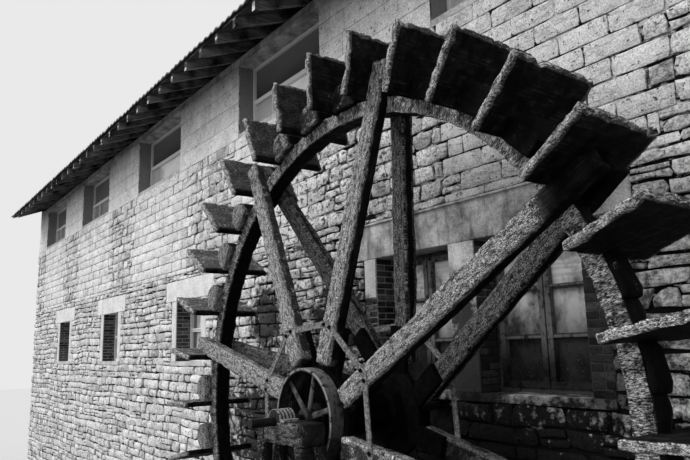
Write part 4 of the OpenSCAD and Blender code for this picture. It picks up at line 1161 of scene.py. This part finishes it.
def buildPulley():
    bm = bmesh.new()
    back, near, outer, bossR, bore = (pulley[key] for key in ("back", "front", "outer", "bossR", "bore"))
    inner, middle = outer - pulley["rimThick"], (back + near) / 2
    bead = inner - pulley["bead"]
    # rim profile with a bead along each inner edge
    profile = [(outer - 0.004, back), (outer, middle), (outer - 0.003, near - 0.01), (outer - 0.004, near),
               (bead, near), (bead, near - 0.012), (inner, near - 0.022), (inner, back + 0.022), (bead, back + 0.012),
               (bead, back)]
    boss = [(bore, back), (bossR, back), (bossR, near - 0.01), (bossR - 0.01, near), (bore, near)]
    rubAndHighlight = bm.verts.layers.float.new("rubAndHighlight")
    for line in (profile, boss):
        corners = [bm.verts.new((r, 0, z)) for r, z in line]
        # the rim's front face is marked pale: rubbed metal, and a painted highlight along its edge
        for v in corners:
            if line is profile and v.co.z > near - 0.001:
                v[rubAndHighlight] = 1.0 if v.co.x > inner else 0.0
        spinRound(bm, corners + [bm.edges.new((a, b)) for a, b in zip(corners, corners[1:] + corners[:1])], 96)
    reach = inner - bossR + 0.03
    for n in range(pulley["arms"]):
        turn = Matrix.Rotation(radians(pulley["firstArm"] + n * 360 / pulley["arms"]), 4, "Z")
        place = turn @ Matrix.Translation((bossR - 0.015 + reach / 2, 0, middle)) \
            @ Matrix.Rotation(pi / 2, 4, "Y") @ Matrix.Diagonal((pulley["armFlat"], 1, 1, 1))
        arm = bmesh.ops.create_cone(bm, cap_ends=True, segments=12, radius1=pulley["armRoot"],
                                    radius2=pulley["armTip"], depth=reach, matrix=place)
        # painted highlight along the front of each arm
        for v in arm["verts"]:
            v[rubAndHighlight] = 0.12 if v.co.z > middle + 0.008 else 0.0
    # painted highlight: the belt's face is paler on its upper side and plain below
    for v in bm.verts:
        if hypot(v.co.x, v.co.y) > outer - 0.005 and v.co.z < near - 0.001:
            v[rubAndHighlight] = max(0.0, 0.1 + 0.25 * v.co.y / outer)
    bmesh.ops.recalc_face_normals(bm, faces=bm.faces[:])
    bm.transform(wheelFrame)
    makePiece("pulley_casting", bm, pulleyLook, "wheel", ["belt_pulley"], sharp=35)


tieBolts = {"ringR": 0.92, "inR": 0.886, "apart": 0.05, "out": 0.52, "radius": 0.019, "top": 0.017, "high": 0.016}


# Two bolts hold each corner of the tie rings
def buildTieBolts():
    bm = bmesh.new()
    for sideSign in (1, -1):
        for k in range(wheel["spokes"]):
            turn = paddleAngle(4 * k + 3) - asin(wheel["spokeSide"] / tieBolts["ringR"])
            for s in (-1, 1):
                local = Matrix.Rotation(turn, 4, "Z") @ Matrix.Translation((tieBolts["inR"], 0, 0)) \
                    @ Matrix.Rotation(s * radians(22.5), 4, "Z") \
                    @ Matrix.Translation((0, s * tieBolts["apart"], tieBolts["out"]))
                bmesh.ops.create_cone(bm, cap_ends=True, segments=6, radius1=tieBolts["radius"],
                                      radius2=tieBolts["top"], depth=tieBolts["high"],
                                      matrix=wheelFrame @ Matrix.Diagonal((1, 1, sideSign, 1)) @ local)
    bmesh.ops.recalc_face_normals(bm, faces=bm.faces[:])
    makePiece("tie_ring_bolts", bm, ironLook, "wheel", sharp=30)


buildPulley()
buildTieBolts()
finishNodes(ironLook, "near_hub", "far_hub")
finishNodes(shaftLook, "near_gudgeon", "far_gudgeon")
finishNodes(axleLook, "axle")
finishNodes(strapLook, "tie_rings")
finishNodes(capLook, "bearing_cap", "wall_bearing_cap")
print("stage: wheel iron")

stand = {"pierTop": 2.15, "under": -0.19, "foot": -1.6, "lean": 0.26, "legWide": 0.11, "postTop": -0.06,
         "blockLeft": -0.19, "blockRight": 0.42, "rows": (0.642, 0.802), "railY": -0.895, "rail": 0.09,
         "railIn": 0.028, "railOut": 0.082, "railEnds": (-0.375, 0.495), "tieHalf": 0.027, "tieBack": 0.67,
         "tieNear": 0.884, "blockBack": 0.645, "blockNear": 0.909}


def buildStand():
    bm, growthAndPaintedLight = newTimber()

    def timber(low, high, cell, along, shift, place=Matrix.Identity(4)):
        corners = addTimber(bm, low, high, cell, 0.008, along, shift)
        for v in corners:
            v[growthAndPaintedLight] = 0.55 if v.co.z > high[2] - 0.02 else 0.25
        shake(corners, 0.05, 0.006, (shift, 0, 0))
        shake(corners, 0.018, 0.002, (shift, 0, 0))
        bmesh.ops.transform(bm, matrix=wheelFrame @ place, verts=corners)
        return corners

    railLow, railHigh = stand["railY"], stand["railY"] + stand["rail"]
    left, right = stand["railEnds"]
    for n, z0 in enumerate(stand["rows"]):
        for s in (-1, 1):
            # each leg is sheared outwards towards its foot; the left ones rise beside the block's end
            share = s * stand["lean"] / (stand["under"] - stand["foot"])
            shear = Matrix.Identity(4)
            shear[0][1], shear[0][3] = -share, share * stand["under"]
            far, top = (stand["blockRight"], stand["under"]) if s > 0 else (stand["blockLeft"], stand["postTop"])
            leg = timber((far - stand["legWide"], stand["foot"], z0), (far, top, z0 + stand["legWide"]),
                         (0.055, 0.05, 0.055), 1, 3.0 * n + s, shear)
            for v in leg:
                spot = wheelFrame.inverted() @ v.co
                if s < 0 and spot.x > far - 0.001:
                    spot.x = far - 0.001
                if s < 0 and spot.y > top - 0.03:
                    spot.y -= 0.05 * max(0.0, noise.noise(spot * 26))
                v.co = wheelFrame @ spot
        timber((left, railLow, z0 + stand["railIn"]), (right, railHigh, z0 + stand["railOut"]), (0.06, 0.045, 0.03),
               0, 11.0 + n)
    for x in (left, right):
        timber((x - stand["tieHalf"], railLow, stand["tieBack"]), (x + stand["tieHalf"], railHigh, stand["tieNear"]),
               (0.03, 0.045, 0.05), 2, 17.0 + x)
    makeTimber("stand_timbers", bm, standLook, "bearing_trestle", "mill")

    bm, growthAndPaintedLight = newTimber()
    low, high, near = stand["blockLeft"] + 0.003, stand["blockRight"] - 0.003, stand["blockNear"]
    corners = addTimber(bm, (low, stand["under"] + 0.002, stand["blockBack"]), (high, -0.003, near),
                        (0.034, 0.037, 0.038), 0.01, 0, 23.0)
    for v in corners:
        edge = min(high - v.co.x, -v.co.y, v.co.y - stand["under"], near - v.co.z)
        v[growthAndPaintedLight] = (0.55 if v.co.z > 0.89 else 0.2) + (0.3 if edge < 0.012 and v.co.z > 0.85 else 0.0)
        if v.co.x > high - 0.02:
            v.co.x -= 0.04 * max(0.0, noise.noise(v.co * 18))
    shake([v for v in corners if v.co.y < -0.02], 0.06, 0.006)
    bm.transform(wheelFrame)
    makeTimber("bearing_timber", bm, standLook, "bearing_block", "mill")


pierRubble = {**rubble, "mortar": 0.03, "course": (0.15, 0.26), "length": (0.22, 0.5), "relief": 0.008, "tilt": 0.01,
              "crown": 0.003, "noise": 0.003}


# Rubble pier: a mortar core, with stones that reach out to the pier's own faces
def buildPier():
    core, stones = bmesh.new(), bmesh.new()
    gap = pierRubble["mortar"]
    lowCorner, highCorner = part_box("bearing_pier")
    addBar(core, lowCorner + Vector((gap, gap, 0)), highCorner - Vector((gap, gap, 0)), uncut, 0.0)
    rng = random.Random(33)
    size, centre = highCorner - lowCorner, (lowCorner + highCorner) / 2
    for outward, right in (((0, -1, 0), (1, 0, 0)), ((0, 1, 0), (-1, 0, 0)), ((-1, 0, 0), (0, -1, 0)),
                           ((1, 0, 0), (0, 1, 0))):
        outward, right = Vector(outward), Vector(right)
        half = abs(right.dot(size)) / 2 - cornerLap
        origin = Vector((centre.x, centre.y, 0)) + outward * (abs(outward.dot(size)) / 2 - gap)
        bm = bmesh.new()
        for v0, v1 in courseLevels(0, stand["pierTop"] - cornerLap, pierRubble["course"], rng):
            layStones(bm, -half, half, v0, v1, pierRubble, [], rng)
        clearHoles(bm, [], pierRubble["smallest"])
        raiseStones(bm, pierRubble, rng)
        for v in bm.verts:
            v.co.z = min(v.co.z, gap - 0.001)
        joinInto(stones, bm, sideFrame(origin, right, outward))
    makePiece("pier_core", core, mortarLook, replaced=["bearing_pier"])
    makePiece("pier_stones", stones, stoneLook)


standLook = wetTimberMaterial("stand timber", 0.003, 0.06, 0.05, 0.34, (3, 50, 1), 0.55)
buildStand()
buildPier()
finishNodes(standLook, "wall_bearing_block")
print("stage: stand")

camera = {"place": (10.8025, -8.8472, 4.3714), "yaw": 0.9295, "pitch": 0.1795, "roll": -0.0267, "lens": 33.90,
          "sensor": 36, "clip": 300}
light = {"sky": 1.05, "sun": 2.85, "sunFrom": (-0.55, -0.75, 0.95), "sunSize": 32, "background": 0.82,
         "floor": 0.45, "floorBounce": 0.16, "floorHalf": 90}


def placeCamera():
    (cy, sy), (cp, sp), (cr, sr) = ((cos(camera[key]), sin(camera[key])) for key in ("yaw", "pitch", "roll"))
    forward = Vector((-sy * cp, cy * cp, sp))
    level = Vector((cy, sy, 0))
    upright = level.cross(forward)
    right, up = cr * level + sr * upright, cr * upright - sr * level
    turned = Matrix((right, up, -forward)).transposed().to_4x4()
    data = bpy.data.cameras.new("camera")
    data.sensor_width, data.lens, data.clip_end = camera["sensor"], camera["lens"], camera["clip"]
    made = addObject("camera", data)
    made.matrix_world = Matrix.Translation(camera["place"]) @ turned
    bpy.context.scene.camera = made


# One shader where the factor is 0, the other where it is 1
def blend(factor, first, second, output):
    mix = addNode("MixShader", {0: factor, 1: first.outputs[0], 2: second.outputs[0]})
    tree.links.new(mix.outputs[0], addNode(output).inputs[0])


def lightScene():
    bpy.context.scene.world = newTree("studio", "worlds")
    rays = addNode("LightPath").outputs
    seen = larger(rays["Is Camera Ray"], larger(rays["Is Glossy Ray"], rays["Is Transmission Ray"]))
    sky = addNode("Background", {"Color": grey(1.0), "Strength": light["sky"]})
    shown = addNode("Background", {"Color": grey(light["background"]), "Strength": 1.0})
    blend(seen, sky, shown, "OutputWorld")

    lamp = bpy.data.lights.new("sun", "SUN")
    lamp.energy, lamp.angle = light["sun"], radians(light["sunSize"])
    addObject("sun", lamp).rotation_euler = Vector(light["sunFrom"]).to_track_quat("Z", "Y").to_euler()

    bm = bmesh.new()
    bmesh.ops.create_grid(bm, x_segments=1, y_segments=1, size=light["floorHalf"])
    mesh = bpy.data.meshes.new("floor")
    bm.to_mesh(mesh)
    bm.free()
    ground = addObject("floor", mesh)
    mesh.materials.append(newTree("plain floor"))
    dull, pale = (addNode("BsdfDiffuse", {"Color": grey(light[key])}) for key in ("floorBounce", "floor"))
    blend(addNode("LightPath").outputs["Is Camera Ray"], dull, pale, "OutputMaterial")


placeCamera()
lightScene()
bpy.context.scene.view_settings.view_transform = "Standard"
print("stage: camera and light")
